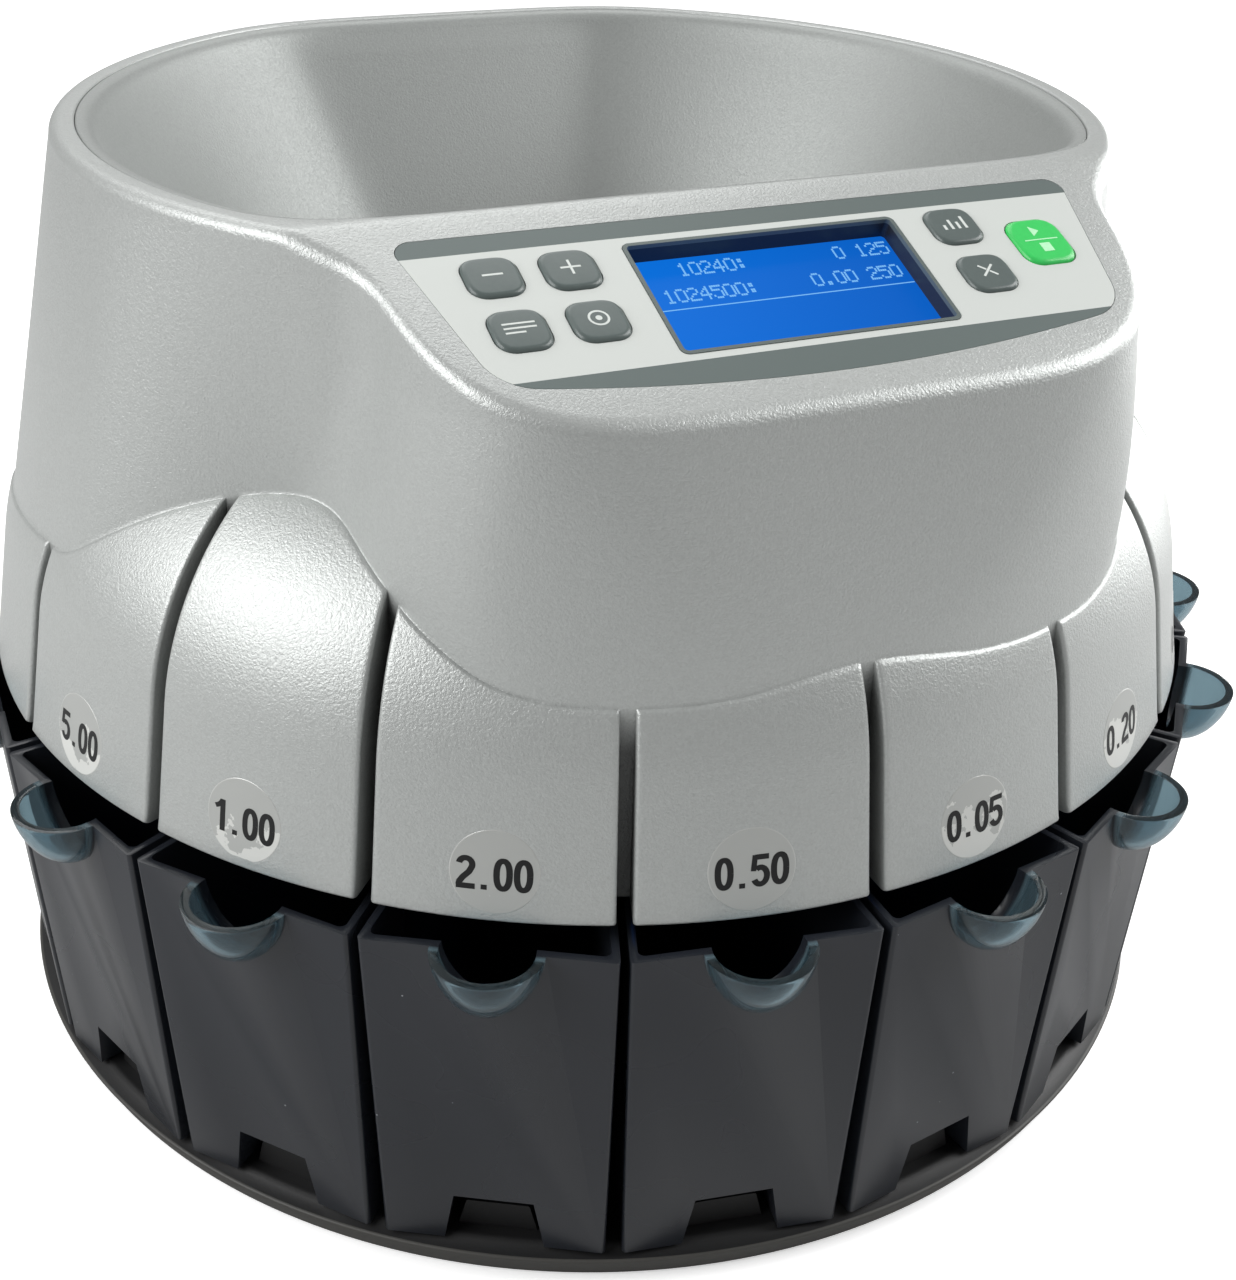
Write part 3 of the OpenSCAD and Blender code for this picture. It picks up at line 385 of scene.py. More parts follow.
def grid_mesh(name, points, closed_u=False, closed_v=False):
    """Quads over an array of points [u, v, xyz]; closed directions join their last line to the first."""
    nu, nv = points.shape[:2]
    i = np.arange(nu if closed_u else nu - 1)
    j = np.arange(nv if closed_v else nv - 1)
    i, j = np.meshgrid(i, j, indexing="ij")
    a, b = i * nv + j, ((i + 1) % nu) * nv + j
    c, d = ((i + 1) % nu) * nv + (j + 1) % nv, i * nv + (j + 1) % nv
    quads = np.stack([a, b, c, d], -1).reshape(-1, 4)
    mesh = bpy.data.meshes.new(name)
    mesh.from_pydata(points.reshape(-1, 3), [], quads)
    return mesh


def finish_mesh(mesh, sharp_degrees=35):
    """Merges doubles, turns the faces outwards and shades smoothly except across sharp edges."""
    work = bmesh.new()
    work.from_mesh(mesh)
    bmesh.ops.remove_doubles(work, verts=work.verts, dist=2e-6)
    bmesh.ops.recalc_face_normals(work, faces=work.faces)
    work.to_mesh(mesh)
    work.free()
    mesh.shade_smooth()
    mesh.set_sharp_from_angle(angle=math.radians(sharp_degrees))


def new_piece(name, mesh, material):
    mesh.materials.clear()
    mesh.materials.append(material)
    return new_object(name, mesh)


def cover_angles():
    """Columns crowd at the petals' edges, and are about 1 degree apart elsewhere."""
    near = np.degrees(np.array([0, 0.9, 1.5, 1.654, 1.658, 1.72, 1.83, 2.0, 2.26, 2.56, 3.2]) / groove_r)
    half = np.concatenate([near, np.linspace(near[-1], petal_pitch / 2, 11)[1:]])
    one = np.concatenate([half, petal_pitch - half[-2:0:-1]])
    front = np.concatenate([seam + one for seam in np.arange(-80, 80, petal_pitch)] + [[80.0]])
    side = 80 + half[1:]
    rear = np.linspace(90, 270, 136)[1:-1]
    return np.radians(np.concatenate([-side[::-1], front, side, rear]))


def cover_skin():
    """Closed shell: up the petals and the wall, over the rim, down the mouth, and back down inside."""
    t = cover_angles()[:, None]
    turned = np.where(t > math.pi, t - 2 * math.pi, t)
    zj = junction_z(turned)
    re = cover_r(turned, top_z(turned, cover_r(turned, top_z(turned, cover_r(turned, rim_z)))) - rim_edge)
    ze = top_z(turned, re) - rim_edge
    a = np.radians(np.linspace(90, 0, 5))[None, :]
    low_z = skirt_z + skirt_edge * (1 - np.sin(a))
    low_r = cover_r(turned, skirt_z + 0 * a) - skirt_edge * (1 - np.cos(a))
    s = (1 - (1 - np.linspace(0, 1, 36)[1:]) ** 1.5)[None, :]
    z1 = skirt_z + skirt_edge + (zj - skirt_z - skirt_edge) * s
    s = (np.linspace(0, 1, 34)[1:] ** 1.4)[None, :]
    z2 = zj + (ze - zj) * s
    walls_z = np.concatenate([z1, z2], 1)
    walls_r = cover_r(turned, walls_z)
    a = np.radians(np.linspace(0, 90, 9)[1:])[None, :]
    edge_r = re - rim_edge * (1 - np.cos(a))
    edge_z = top_z(turned, edge_r) - rim_edge * (1 - np.sin(a))
    rm = mouth_r(turned)
    front = np.maximum(np.cos(turned), 1e-3)
    ridge = np.clip(ridge_y / front, rm + 0.6, re - rim_edge - 0.6)
    flat_r = np.concatenate([re - rim_edge + (ridge - re + rim_edge) * q for q in (0.25, 0.5, 0.75, 0.95, 1.0)]
                            + [ridge + (rm + mouth_edge - ridge) * q for q in (0.1, 0.5, 1.0)], 1)
    flat_z = top_z(turned, flat_r)
    a = np.radians(np.linspace(0, 90, 5)[1:])[None, :]
    mouth = rm + mouth_edge * (1 - np.sin(a))
    mouth_z = top_z(turned, rm + mouth_edge) - mouth_edge * (1 - np.cos(a))
    under = top_z(turned, rm) - top_wall
    ri = np.minimum(re - rim_edge, cover_r(turned, ze - 2) - cover_wall)
    under_r = np.concatenate([rm, rm, np.maximum(ridge - 0.5, rm), ri], 1)
    under_z = np.concatenate([mouth_z[:, -1:] - 0.6, under,
                              top_z(turned, np.maximum(ridge - 0.5, rm)) - top_wall,
                              top_z(turned, ri) - top_wall], 1)
    s = np.linspace(1, 0, 12)[None, :]
    in_z = skirt_z + (zj - skirt_z) * s
    in_r = cover_r(turned, in_z) - cover_wall
    r = np.concatenate([low_r, walls_r, edge_r, flat_r, mouth, under_r, in_r], 1)
    z = np.concatenate([low_z + 0 * t, walls_z, edge_z, flat_z, mouth_z, under_z, in_z + 0 * t], 1)
    return round_axis(r, t, z)


def silver_abs(name, grain_scale, shade, smooth, relief):
    """ABS with silver pigment, moulded in a grained tool.

    The pigment gives fine glitter and a broad soft gloss; the grain (0.5 to 1 mm pits) breaks it up, and
    the floors of the grooves are darkened with painted shade, the more the deeper they lie below the petals.
    """
    m = new_material(name)
    glitter = add(m, "ShaderNodeTexVoronoi", {"feature": "F1"}, Vector=object_place(m), Scale=2200.0)
    spark = between(m, glitter.outputs["Color"], 0.94, 1.05)
    uneven = spread(m, noise(m, 9.0, 3.0, Roughness=0.5), 0.985, 1.015)
    # Painted shade: the floors of the grooves darken with their depth below the petals.
    shadow = between(m, attribute(m, "depth"), 1.0, 0.2)
    tone = maths(m, "MULTIPLY", maths(m, "MULTIPLY", spark, uneven), shadow)
    pits = noise(m, grain_scale, 2.0, Roughness=0.6, Distortion=0.3)
    return surface(m, Base_Color=toned(m, shade, tone), Metallic=0.42,
                   Roughness=spread(m, pits, smooth, smooth + 0.12), Normal=bump(m, pits, relief, 0.00024))


silver = silver_abs("grained_silver_abs", 1600.0, "#BDC0BE", 0.33, 0.6)


def on_panel(u, v, w):
    """Panel place in mm (right, up the slope, out of it) to row metres."""
    c, s = math.cos(panel_tilt), math.sin(panel_tilt)
    u, v, w = np.broadcast_arrays(u, v, w)
    return in_row(u, -panel_y + v * c - w * s, panel_z + v * s + w * c)


def corner(a, b, c, radius, n=8):
    """Arc of a radius, in n steps, that rounds the corner b of the path a, b, c."""
    a, b, c = (np.array(q, float) for q in (a, b, c))
    p, q = (a - b) / np.linalg.norm(a - b), (c - b) / np.linalg.norm(c - b)
    half = math.acos(np.clip(p @ q, -1, 1)) / 2
    centre = b + (p + q) / np.linalg.norm(p + q) * radius / math.sin(half)
    first, last = b + p * radius / math.tan(half) - centre, b + q * radius / math.tan(half) - centre
    mixed = [first * (1 - i / n) + last * i / n for i in range(n + 1)]
    return [tuple(centre + m / np.linalg.norm(m) * radius) for m in mixed]


def rounded(path, radius, n=8):
    """Closed path of four corners, each rounded."""
    return [q for i in range(4) for q in corner(path[i - 1], path[i], path[(i + 1) % 4], radius, n)]


def round_rectangle(w, h, radius):
    x, y = w / 2, h / 2
    return rounded([(x, y), (-x, y), (-x, -y), (x, -y)], radius)


film_top, film_half, film_low = 24.5, 79.6, 19.9     # reach up, to each side, and down at the corners
film_draw, film_bow = 9.1, 27.0      # how far a side draws in, and how low the bowed edge reaches


def film_outline(grow):
    """Straight top, sides that draw in, and a bowed bottom edge."""
    top, w, low = film_top + grow, film_half + grow, film_low + grow
    foot = w - film_draw
    right = (corner((0, top), (w, top), (foot, -low), 4)
             + corner((w, top), (foot, -low), (foot - 20, -low - 3.6), 11.5))
    bow = [(60 * x, 5.2 * x * x - film_bow - grow) for x in np.linspace(1, -1, 33)]
    return right + bow + [(-x, y) for x, y in reversed(right)]


def prism(name, low, high):
    """Closed solid between two rings of points in metres."""
    n = len(low)
    sides = [(i, (i + 1) % n, n + (i + 1) % n, n + i) for i in range(n)]
    mesh = bpy.data.meshes.new(name)
    mesh.from_pydata(np.concatenate([low, high]), [],
                     sides + [tuple(range(n - 1, -1, -1)), tuple(range(n, 2 * n))])
    work = bmesh.new()
    work.from_mesh(mesh)
    bmesh.ops.recalc_face_normals(work, faces=work.faces)
    work.to_mesh(mesh)
    work.free()
    return mesh


def panel_prism(name, outline, low, high):
    """Solid that stands on the panel between two heights, with an outline in panel millimetres."""
    u, v = np.array(outline).T
    return prism(name, on_panel(u, v, low), on_panel(u, v, high))


def baked(body):
    """New mesh of an object after its modifiers."""
    bpy.context.view_layer.update()
    return bpy.data.meshes.new_from_object(body.evaluated_get(bpy.context.evaluated_depsgraph_get()))


def cut(mesh, tools, operation="DIFFERENCE"):
    """Exact boolean of a mesh with other meshes, as a new mesh."""
    body = new_object("body", mesh)
    helpers = [new_object("tool", tool) for tool in tools]
    for helper in helpers:
        modifier = body.modifiers.new("cut", "BOOLEAN")
        modifier.operation = operation
        modifier.solver = "EXACT"
        modifier.object = helper
    result = baked(body)
    for used in helpers + [body]:
        bpy.data.objects.remove(used)
    return result


window_w, window_h, window_d, frame_w = 62.2, 32.6, 4.5, 0.9
window_hole = round_rectangle(window_w + 2 * frame_w + 0.2, window_h + 2 * frame_w + 0.2, 1.9)
skin_mesh = grid_mesh("cover_skin", cover_skin(), closed_u=True, closed_v=True)
finish_mesh(skin_mesh)
skin_mesh = cut(skin_mesh, [panel_prism("recess", film_outline(0.12), -0.8, 9),
                            panel_prism("window", window_hole, -20, 9)])
finish_mesh(skin_mesh)
x, y, z = millimetres(skin_mesh).T
angle = np.arctan2(x, axis_y - y)
# Painted shade for the groove floors: how deep each vertex lies below the petal, used to darken it.
below = np.clip((petal_r(z) - np.hypot(x, y - axis_y)) / 4.5, 0, 1)
vertex_value(skin_mesh, "depth", below * (z < junction_z(angle)) * (np.abs(angle) < math.radians(88)))
cover = new_piece("cover_skin", skin_mesh, silver)
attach(cover, "housing")
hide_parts("top_cover")


# ---- Hopper ------------------------------------------------------------------------------------
# The coin bowl, moulded in the same silver ABS, drawn darker as painted shade for the inside of the bowl.
# Inside the flat rim it steps down to a soft lip, then falls as a cone to the round throat; its rear wall is
# flat and meets the cone in two creases.

throat_z, throat_r, back_fall = 124.0, 62.0, 60.0    # back_fall: distance of the flat back at the throat
bowl_wall, bowl_lip = 2.2, 4.0       # the bowl's wall, and the depth of its soft lip below the rim
lip_reach, back_reach = 5.15, 7.0    # how far the lip comes in from the mouth, and from the flat back


def funnel_r(t, s):
    """Cone from the lip to the throat, cut by a flat sloping back with softened creases."""
    lip = mouth_r(t) - lip_reach
    cone = lip + (throat_r - lip) * s
    back = tower_flat - rim_width - back_reach
    rear = (back + (back_fall - back) * s) / np.maximum(-np.cos(t), side_on)
    return -soft_max(-cone, -rear, 1.5)


def hopper_skin():
    t = full_turn(0.75)
    t = np.where(t > math.pi, t - 2 * math.pi, t)
    rm = mouth_r(t) - 0.12
    drop = np.array([0.9, 0.55, 0.35, 0.32, 0.36, 0.5, 0.8, 1.3, 2.0, 2.8, 3.5])[None, :]
    reach = np.array([0.0, 0.05, 0.3, 0.7, 1.3, 2.0, 2.8, 3.5, 4.1, 4.6, 4.95])[None, :]
    s = np.linspace(0, 1, 46)[None, 1:]
    r = np.concatenate([rm, rm - reach, funnel_r(t, s), funnel_r(t, 1.0) + bowl_wall,
                        funnel_r(t, 0.5) + bowl_wall, rm - 2.8], 1)
    z_lip = rim_z - bowl_lip
    z = np.concatenate([rim_z - 2.6 + 0 * t, rim_z - drop + 0 * t, z_lip + (throat_z - z_lip) * s + 0 * t,
                        throat_z + 0 * t, (throat_z + z_lip) / 2 + 0 * t, rim_z - 6.0 + 0 * t], 1)
    return round_axis(r, t, z)


bowl_mesh = grid_mesh("hopper_bowl", hopper_skin(), closed_u=True, closed_v=True)
finish_mesh(bowl_mesh, 60)
# Same silver ABS as the cover, drawn darker (#9FA2A0) as painted shade inside the bowl, and rougher.
bowl = new_piece("hopper_bowl", bowl_mesh, silver_abs("satin_silver_abs_with_painted_shade", 1500.0, "#9FA2A0", 0.46, 0.35))
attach(bowl, "housing")
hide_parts("hopper")


# ---- Control film --------------------------------------------------------------------------------
# A printed polyester film lies in a shallow recess of the panel: a pale grey field with a dark band
# along the top and another along the bowed bottom edge.

key_w = 12.0
key_places = {"key_minus": (-61.7, 11.1, key_w, key_w), "key_plus": (-45.2, 10.9, key_w, key_w),
              "key_preset": (-61.5, -5.0, key_w, key_w), "key_set": (-45.1, -4.9, key_w, key_w),
              "key_report": (44.8, 11.5, key_w, key_w), "key_clear": (44.7, -4.5, key_w, key_w),
              "key_start": (62.8, 3.5, 13.2, 15.0)}      # across, up the panel, width, height
key_rise = 0.8
band_above, band_below = 19.2, -19.1     # heights on the panel where the dark bands begin


def panel_uv(mesh):
    """UV layer that holds the panel place of every vertex in millimetres."""
    x, y, z = millimetres(mesh).T
    v = (y - axis_y + panel_y) * math.cos(panel_tilt) + (z - panel_z) * math.sin(panel_tilt)
    write_uv(mesh, "panel", np.stack([x, v], -1))


def printed_film(name):
    """Polyester film printed from behind, with a satin top.

    The print is sharp; the satin surface gives a wide, faint sheen and hides the light's outline.
    """
    m = new_material(name)
    height = add(m, "ShaderNodeSeparateXYZ", None, Vector=uv_place(m, "panel")).outputs["Y"]
    band = maths(m, "MAXIMUM", maths(m, "GREATER_THAN", height, band_above),
                 maths(m, "LESS_THAN", height, band_below))
    return surface(m, Base_Color=blended(m, band, linear("#CCD0CC"), linear("#5E6967")), Roughness=0.42,
                   Normal=bump(m, noise(m, 4200.0, 2.0), 0.1, 0.00003))


def shifted(outline, u, v):
    return [(x + u, y + v) for x, y in outline]


film_mesh = cut(panel_prism("film", film_outline(0), -0.78, -0.02),
                [panel_prism("window", window_hole, -3, 3)]
                + [panel_prism("hole", shifted(round_rectangle(w + 0.3, h + 0.3, 4.1), u, v), -3, 3)
                   for u, v, w, h in key_places.values()])
panel_uv(film_mesh)
film = new_piece("control_film", film_mesh, printed_film("printed_satin_polyester"))
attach(film, "housing")
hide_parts("control_overlay")


# ---- Keys ----------------------------------------------------------------------------------------
# Seven keys embossed as pillows: six grey ones of 12 mm and the larger green start key. Each carries a
# plain printed symbol.

key_square = 3.6                 # squareness of a key's superellipse outline
key_sunk, key_root = 0.5, 3.4    # depths of the pillow's edge and of the switch under the panel
print_lift = 0.025               # height of the ink above a key


def pillow_height(u, v, w, h):
    """Height of a pillow: a slight crown that drops over a rounded edge at its outline."""
    s = (np.abs(2 * u / w) ** key_square + np.abs(2 * v / h) ** key_square) ** (1 / key_square)
    edge = np.sqrt(np.maximum(0, 1 - np.clip((s - 0.82) / 0.18, 0, 1) ** 2.2))
    return -key_sunk + (key_rise + key_sunk) * edge * (1 - 0.06 * s * s)


def pillow(name, u0, v0, w, h):
    """Closed key cap: rings of a superellipse from the middle out, then down to the switch."""
    a = full_turn(3.0)
    unit = (np.abs(np.cos(a)) ** key_square + np.abs(np.sin(a)) ** key_square) ** (-1 / key_square)
    s = np.concatenate([[0.0], np.linspace(0.1, 0.8, 8), np.linspace(0.83, 1, 16)])[None, :]
    u, v = unit * np.cos(a) * s * w / 2, unit * np.sin(a) * s * h / 2
    z = pillow_height(u, v, w, h)
    last = slice(-1, None)
    u, v = np.concatenate([u, u[:, last], 0 * a], 1), np.concatenate([v, v[:, last], 0 * a], 1)
    z = np.concatenate([z, -key_root + 0 * a, -key_root + 0 * a], 1)
    mesh = grid_mesh(name, on_panel(u + u0, v + v0, z), closed_u=True)
    finish_mesh(mesh, 60)
    return mesh


def on_key(place, u, v):
    """Place of the ink on a key, from its middle."""
    ku, kv, kw, kh = place
    return on_panel(u + ku, v + kv, pillow_height(u, v, kw, kh) + print_lift)


def print_bar(place, u0, v0, u1, v1, width):
    """Thin strip that follows the crown of a key."""
    length = math.hypot(u1 - u0, v1 - v0)
    du, dv = (u1 - u0) / length, (v1 - v0) / length
    s = np.linspace(0, 1, 13)[:, None]
    side = np.linspace(-0.5, 0.5, 3)[None, :] * width
    return on_key(place, u0 + (u1 - u0) * s - dv * side, v0 + (v1 - v0) * s + du * side)


def print_ring(place, u0, v0, radius, width):
    a = np.radians(np.linspace(0, 360, 33))[:, None]
    r = radius + np.linspace(-0.5, 0.5, 3)[None, :] * width
    return on_key(place, u0 + r * np.cos(a), v0 + r * np.sin(a))


def joined_grids(name, grids):
    work = bmesh.new()
    for points in grids:
        part = grid_mesh("part", points)
        work.from_mesh(part)
    bmesh.ops.recalc_face_normals(work, faces=work.faces)
    up = Vector((0, -math.sin(panel_tilt), math.cos(panel_tilt)))
    bmesh.ops.reverse_faces(work, faces=[f for f in work.faces if f.normal.dot(up) < 0])
    mesh = bpy.data.meshes.new(name)
    work.to_mesh(mesh)
    work.free()
    return mesh


def gloss_print(name, shade, roughness):
    """Screen printed ink under a clear gloss film: an even colour with a sharp highlight."""
    m = new_material(name)
    tone = spread(m, noise(m, 900.0, 3.0), 0.97, 1.03)
    return surface(m, Base_Color=toned(m, shade, tone), Roughness=roughness)


grey_print = gloss_print("gloss_grey_ink", "#5C6664", 0.3)
green_print = gloss_print("gloss_green_ink", "#3CCB62", 0.3)
pale_print = gloss_print("pale_grey_ink", "#D5DAD6", 0.4)
pale_green_print = gloss_print("pale_green_ink", "#B8F2C2", 0.4)


def symbol(kind, place):
    def bar(*ends):
        return print_bar(place, *ends)

    if kind == "key_minus":
        return [bar(-2.2, 0.2, 2.2, 0.2, 0.55)]
    if kind == "key_plus":
        return [bar(-2.2, 0.2, 2.2, 0.2, 0.55), bar(0, -2.0, 0, -0.075, 0.55), bar(0, 0.475, 0, 2.4, 0.55)]
    if kind == "key_preset":
        return [bar(-3.4, x, 3.4, x, 0.5) for x in (1.5, 0.2)] + [bar(-3.4, -1.1, 0.8, -1.1, 0.5)]
    if kind == "key_set":
        return [print_ring(place, 0, 0.2, 2.0, 0.5), print_ring(place, 0, 0.2, 0.35, 0.7)]
    if kind == "key_report":
        return [bar(-2.6 + 1.7 * i, -1.6, -2.6 + 1.7 * i, -1.6 + x, 0.7)
                for i, x in enumerate((1.6, 3.2, 2.3, 4.0))]
    if kind == "key_clear":
        return [bar(-1.7, -1.5, 1.7, 1.9, 0.55), bar(-1.7, 1.9, -0.28, 0.48, 0.55),
                bar(0.28, -0.08, 1.7, -1.5, 0.55)]
    return ([bar(-4.2, 0.0, 4.2, 0.0, 0.35)]
            + [bar(-1.1 + 0.2 * i, 1.3 + 0.16 * i, -1.1 + 0.2 * i, 4.5 - 0.16 * i, 0.21) for i in range(10)]
            + [bar(-1.3, -1.4 - 0.35 * i, 1.3, -1.4 - 0.35 * i, 0.36) for i in range(8)])


for key, place in key_places.items():
    green = key == "key_start"
    cap = new_piece(key + "_pillow", pillow(key + "_pillow", *place), green_print if green else grey_print)
    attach(cap, key)
    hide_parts(key)
    mark = new_piece(key + "_symbol", joined_grids(key + "_symbol", symbol(key, place)),
                     pale_green_print if green else pale_print)
    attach(mark, key)


# ---- Display -------------------------------------------------------------------------------------
# A blue backlit display 4.5 mm below the panel, seen through a window with dark walls and a thin grey
# frame. It shows two rows of plain numbers drawn in small dots, and a line under them.

film_seat = 0.9                  # depth at which the grey frame ends and the dark well begins
frame_outer = round_rectangle(window_w + 2 * frame_w, window_h + 2 * frame_w, 1.8)
frame_inner = round_rectangle(window_w, window_h, 1.0)
frame_mesh = cut(panel_prism("frame", frame_outer, -film_seat, 0.12), [panel_prism("hole", frame_inner, -3, 3)])
frame_piece = new_piece("display_frame", frame_mesh, gloss_print("moulded_grey_abs", "#5E6866", 0.35))
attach(frame_piece, "housing")

well_mesh = cut(panel_prism("well", frame_outer, -window_d, -film_seat),
                [panel_prism("hole", frame_inner, -6, 3)])
well = new_piece("display_well", well_mesh, gloss_print("moulded_black_abs", "#2A2D33", 0.4))
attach(well, "housing")
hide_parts("lcd_bezel")


def backlit_glass(name):
    """Liquid crystal cell over a blue backlight: it glows evenly, a little less towards the right."""
    m = new_material(name)
    across = add(m, "ShaderNodeSeparateXYZ", None, Vector=uv_place(m, "panel")).outputs["X"]
    side = add(m, "ShaderNodeMapRange", None, Value=across, From_Min=-31.0, From_Max=31.0).outputs[0]
    return surface(m, Base_Color=linear("#04101F"), Roughness=0.3, IOR=1.12, Emission_Strength=0.84,
                   Emission_Color=blended(m, side, linear("#0A78EC"), linear("#0A66D2")))


glass_w, glass_h = 35.5, 20.5        # half width and half height
glass_mesh = panel_prism("display_glass", [(glass_w, glass_h), (-glass_w, glass_h), (-glass_w, -glass_h),
                                           (glass_w, -glass_h)], -7.5, -window_d)
panel_uv(glass_mesh)
glass = new_piece("display_glass", glass_mesh, backlit_glass("blue_backlit_glass"))
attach(glass, "housing")
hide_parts("lcd_module")

digit_rows = {"0": "0E11111111110E", "1": "040C040404040E", "2": "0E11010608101F", "4": "02060A121F0202",
              "5": "1F101E0101110E", ".": "00000000000C0C", ":": "000C0C000C0C00"}
dot_w, dot_h = 0.44, 0.56        # one dot
dot_step, row_step, letter_step = 0.5, 0.6, 2.72


def dot_text(text, u0, v0):
    """Corner points of every lit dot; each digit is seven rows of five bits, written as hex bytes."""
    quads = []
    for i, letter in enumerate(text):
        rows = digit_rows.get(letter, "")
        for row in range(len(rows) // 2):
            bits = int(rows[2 * row:2 * row + 2], 16)
            for column in range(5):
                if bits >> (4 - column) & 1:
                    u, v = u0 + i * letter_step + column * dot_step, v0 + (6 - row) * row_step
                    quads.append([[(u, v), (u, v + dot_h)], [(u + dot_w, v), (u + dot_w, v + dot_h)]])
    return quads


cells = (dot_text("10240:", -19.9, 10.5) + dot_text("0 125", 16.9, 10.4)
         + dot_text("1024500:", -26.2, 2.6) + dot_text("0.00 250", 8.1, 2.7)
         + [[[(-30.6, 0.45), (-30.6, 0.75)], [(30.9, 0.45), (30.9, 0.75)]]])
across, up = np.moveaxis(np.array(cells), -1, 0)
dots_mesh = joined_grids("display_dots", list(on_panel(across, up, -window_d + 0.04)))
lit_dots = surface(new_material("lit_display_dots"), Base_Color=linear("#0A2440"), Roughness=0.4, IOR=1.12,
                   Emission_Color=linear("#7CBCF2"), Emission_Strength=1.0)
dots_piece = new_piece("display_dots", dots_mesh, lit_dots)
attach(dots_piece, "housing")


# ---- Number labels -------------------------------------------------------------------------------
# Clear round stickers, 19 mm wide, with black numbers. They lie on the lower part of the petals, and
# some of them have torn paper left round the number.

label_values = ("", "5.00", "1.00", "2.00", "0.50", "0.05", "0.20", "0.02", "0.10", "0.01")
label_angle = (-90.0, -70.2, -50.5, -29.8, -10.4, 9.3, 29.6, 50.2, 70.0, 90.0)
label_z = 114.4
digit_size = (0.95, 0.87)        # width and height of the printed digits beside their drawn paths
petal_slope = math.cos(petal_draft)


def on_petal(angle, across, up, lift):
    """Place on the drafted part of a petal: mm across and up the slope from the label's centre."""
    z = label_z + up * petal_slope
    r = petal_r(z) + lift
    return round_axis(r, math.radians(angle) + across / r, z)


def arc_path(x, y, rx, ry, start, stop):
    a = np.radians(np.linspace(start, stop, 24))
    return [(x + rx * math.cos(q), y + ry * math.sin(q)) for q in a]


def digit_paths(letter):
    """Centre lines and stroke widths of a narrow bold digit about its middle."""
    if letter == "0":
        a = np.radians(np.arange(0, 361, 7.5))
        ring = [(1.42 * math.copysign(abs(math.cos(q)) ** 0.85, math.cos(q)),
                 3.6 * math.copysign(abs(math.sin(q)) ** 0.85, math.sin(q))) for q in a]
        return [(ring, 1.42)]
    if letter == "1":
        return [([(0.55, -4.2), (0.55, 4.2)], 1.45),
                ([(0.4, 3.9), (-0.1, 3.0), (-0.75, 2.4), (-1.5, 2.05)], 1.2)]
    if letter == "2":
        bowl = arc_path(0, 2.0, 1.45, 1.6, 172, -25)
        return [(bowl + [(0.75, 0.1), (-0.6, -1.4), (-1.35, -2.6), (-1.5, -3.5)], 1.42),
                ([(-2.1, -3.6), (2.1, -3.6)], 1.45)]
    if letter == "5":
        bowl = arc_path(-0.05, -1.35, 1.5, 2.2, 128, -155)
        return [(bowl, 1.42), ([(-1.25, 4.2), (-1.62, 0.0)], 1.25), ([(-1.3, 3.6), (1.85, 3.6)], 1.4)]
    return [([(0, -4.2), (0, -2.9)], 1.35)]


def stroke(path, width):
    """Strip of even width along a path: each row lies across the path's direction."""
    line = np.array(path, float)
    along = np.gradient(line, axis=0)
    along /= np.linalg.norm(along, axis=1)[:, None]
    across = np.stack([-along[:, 1], along[:, 0]], -1)
    side = np.linspace(-0.5, 0.5, 3)[None, :, None] * width
    return line[:, None, :] + across[:, None, :] * side


black_ink = gloss_print("black_ink", "#060607", 0.5)


def clear_sticker(name, torn):
    """Clear vinyl on the silver skin: it fills the grain, so its disc is smoother and a touch warmer.

    Its cut rim is drawn lighter, a painted highlight. A noise threshold leaves patches of cream paper where it
    has torn.
    """
    m = new_material(name)
    own = uv_place(m, "disc")
    height = add(m, "ShaderNodeSeparateXYZ", None, Vector=own).outputs["Y"]
    ragged = add(m, "ShaderNodeTexNoise", {"noise_dimensions": "2D"}, Vector=own, Scale=0.13, Detail=5.0,
                 Roughness=0.62)
    patch = maths(m, "GREATER_THAN", maths(m, "MULTIPLY_ADD", height, -0.03, ragged.outputs["Fac"]), torn)
    paper = blended(m, patch, linear("#B9BBB8"), linear("#D9DAD6"))
    # The rim attribute lightens the outermost ring of the disc: a painted highlight on its cut edge.
    return surface(m, Base_Color=blended(m, attribute(m, "rim"), paper, linear("#CDCECB")),
                   Metallic=between(m, patch, 0.33, 0.0), Roughness=between(m, patch, 0.3, 0.6))


vinyl = clear_sticker("clear_vinyl", 0.9)
torn_vinyl = clear_sticker("torn_clear_vinyl", 0.60)
ragged_vinyl = clear_sticker("ragged_clear_vinyl", 0.47)

a = full_turn(6.0)
r = np.concatenate([[0.0], np.linspace(1.5, 9.2, 8), [9.42, 9.5]])[None, :]
rise = np.concatenate([np.full(10, 0.06), [0.0]])[None, :] + 0 * a
disc_across, disc_up = r * np.cos(a), r * np.sin(a) + 0.4
# Painted highlight: the outermost ring of each disc is marked for a lighter colour.
painted_rim_highlight = ((r > 9.3) * 0.8 + 0 * a).ravel()
tear_step = np.array([37.0, 0])      # moves each sticker to another part of the noise that tears it

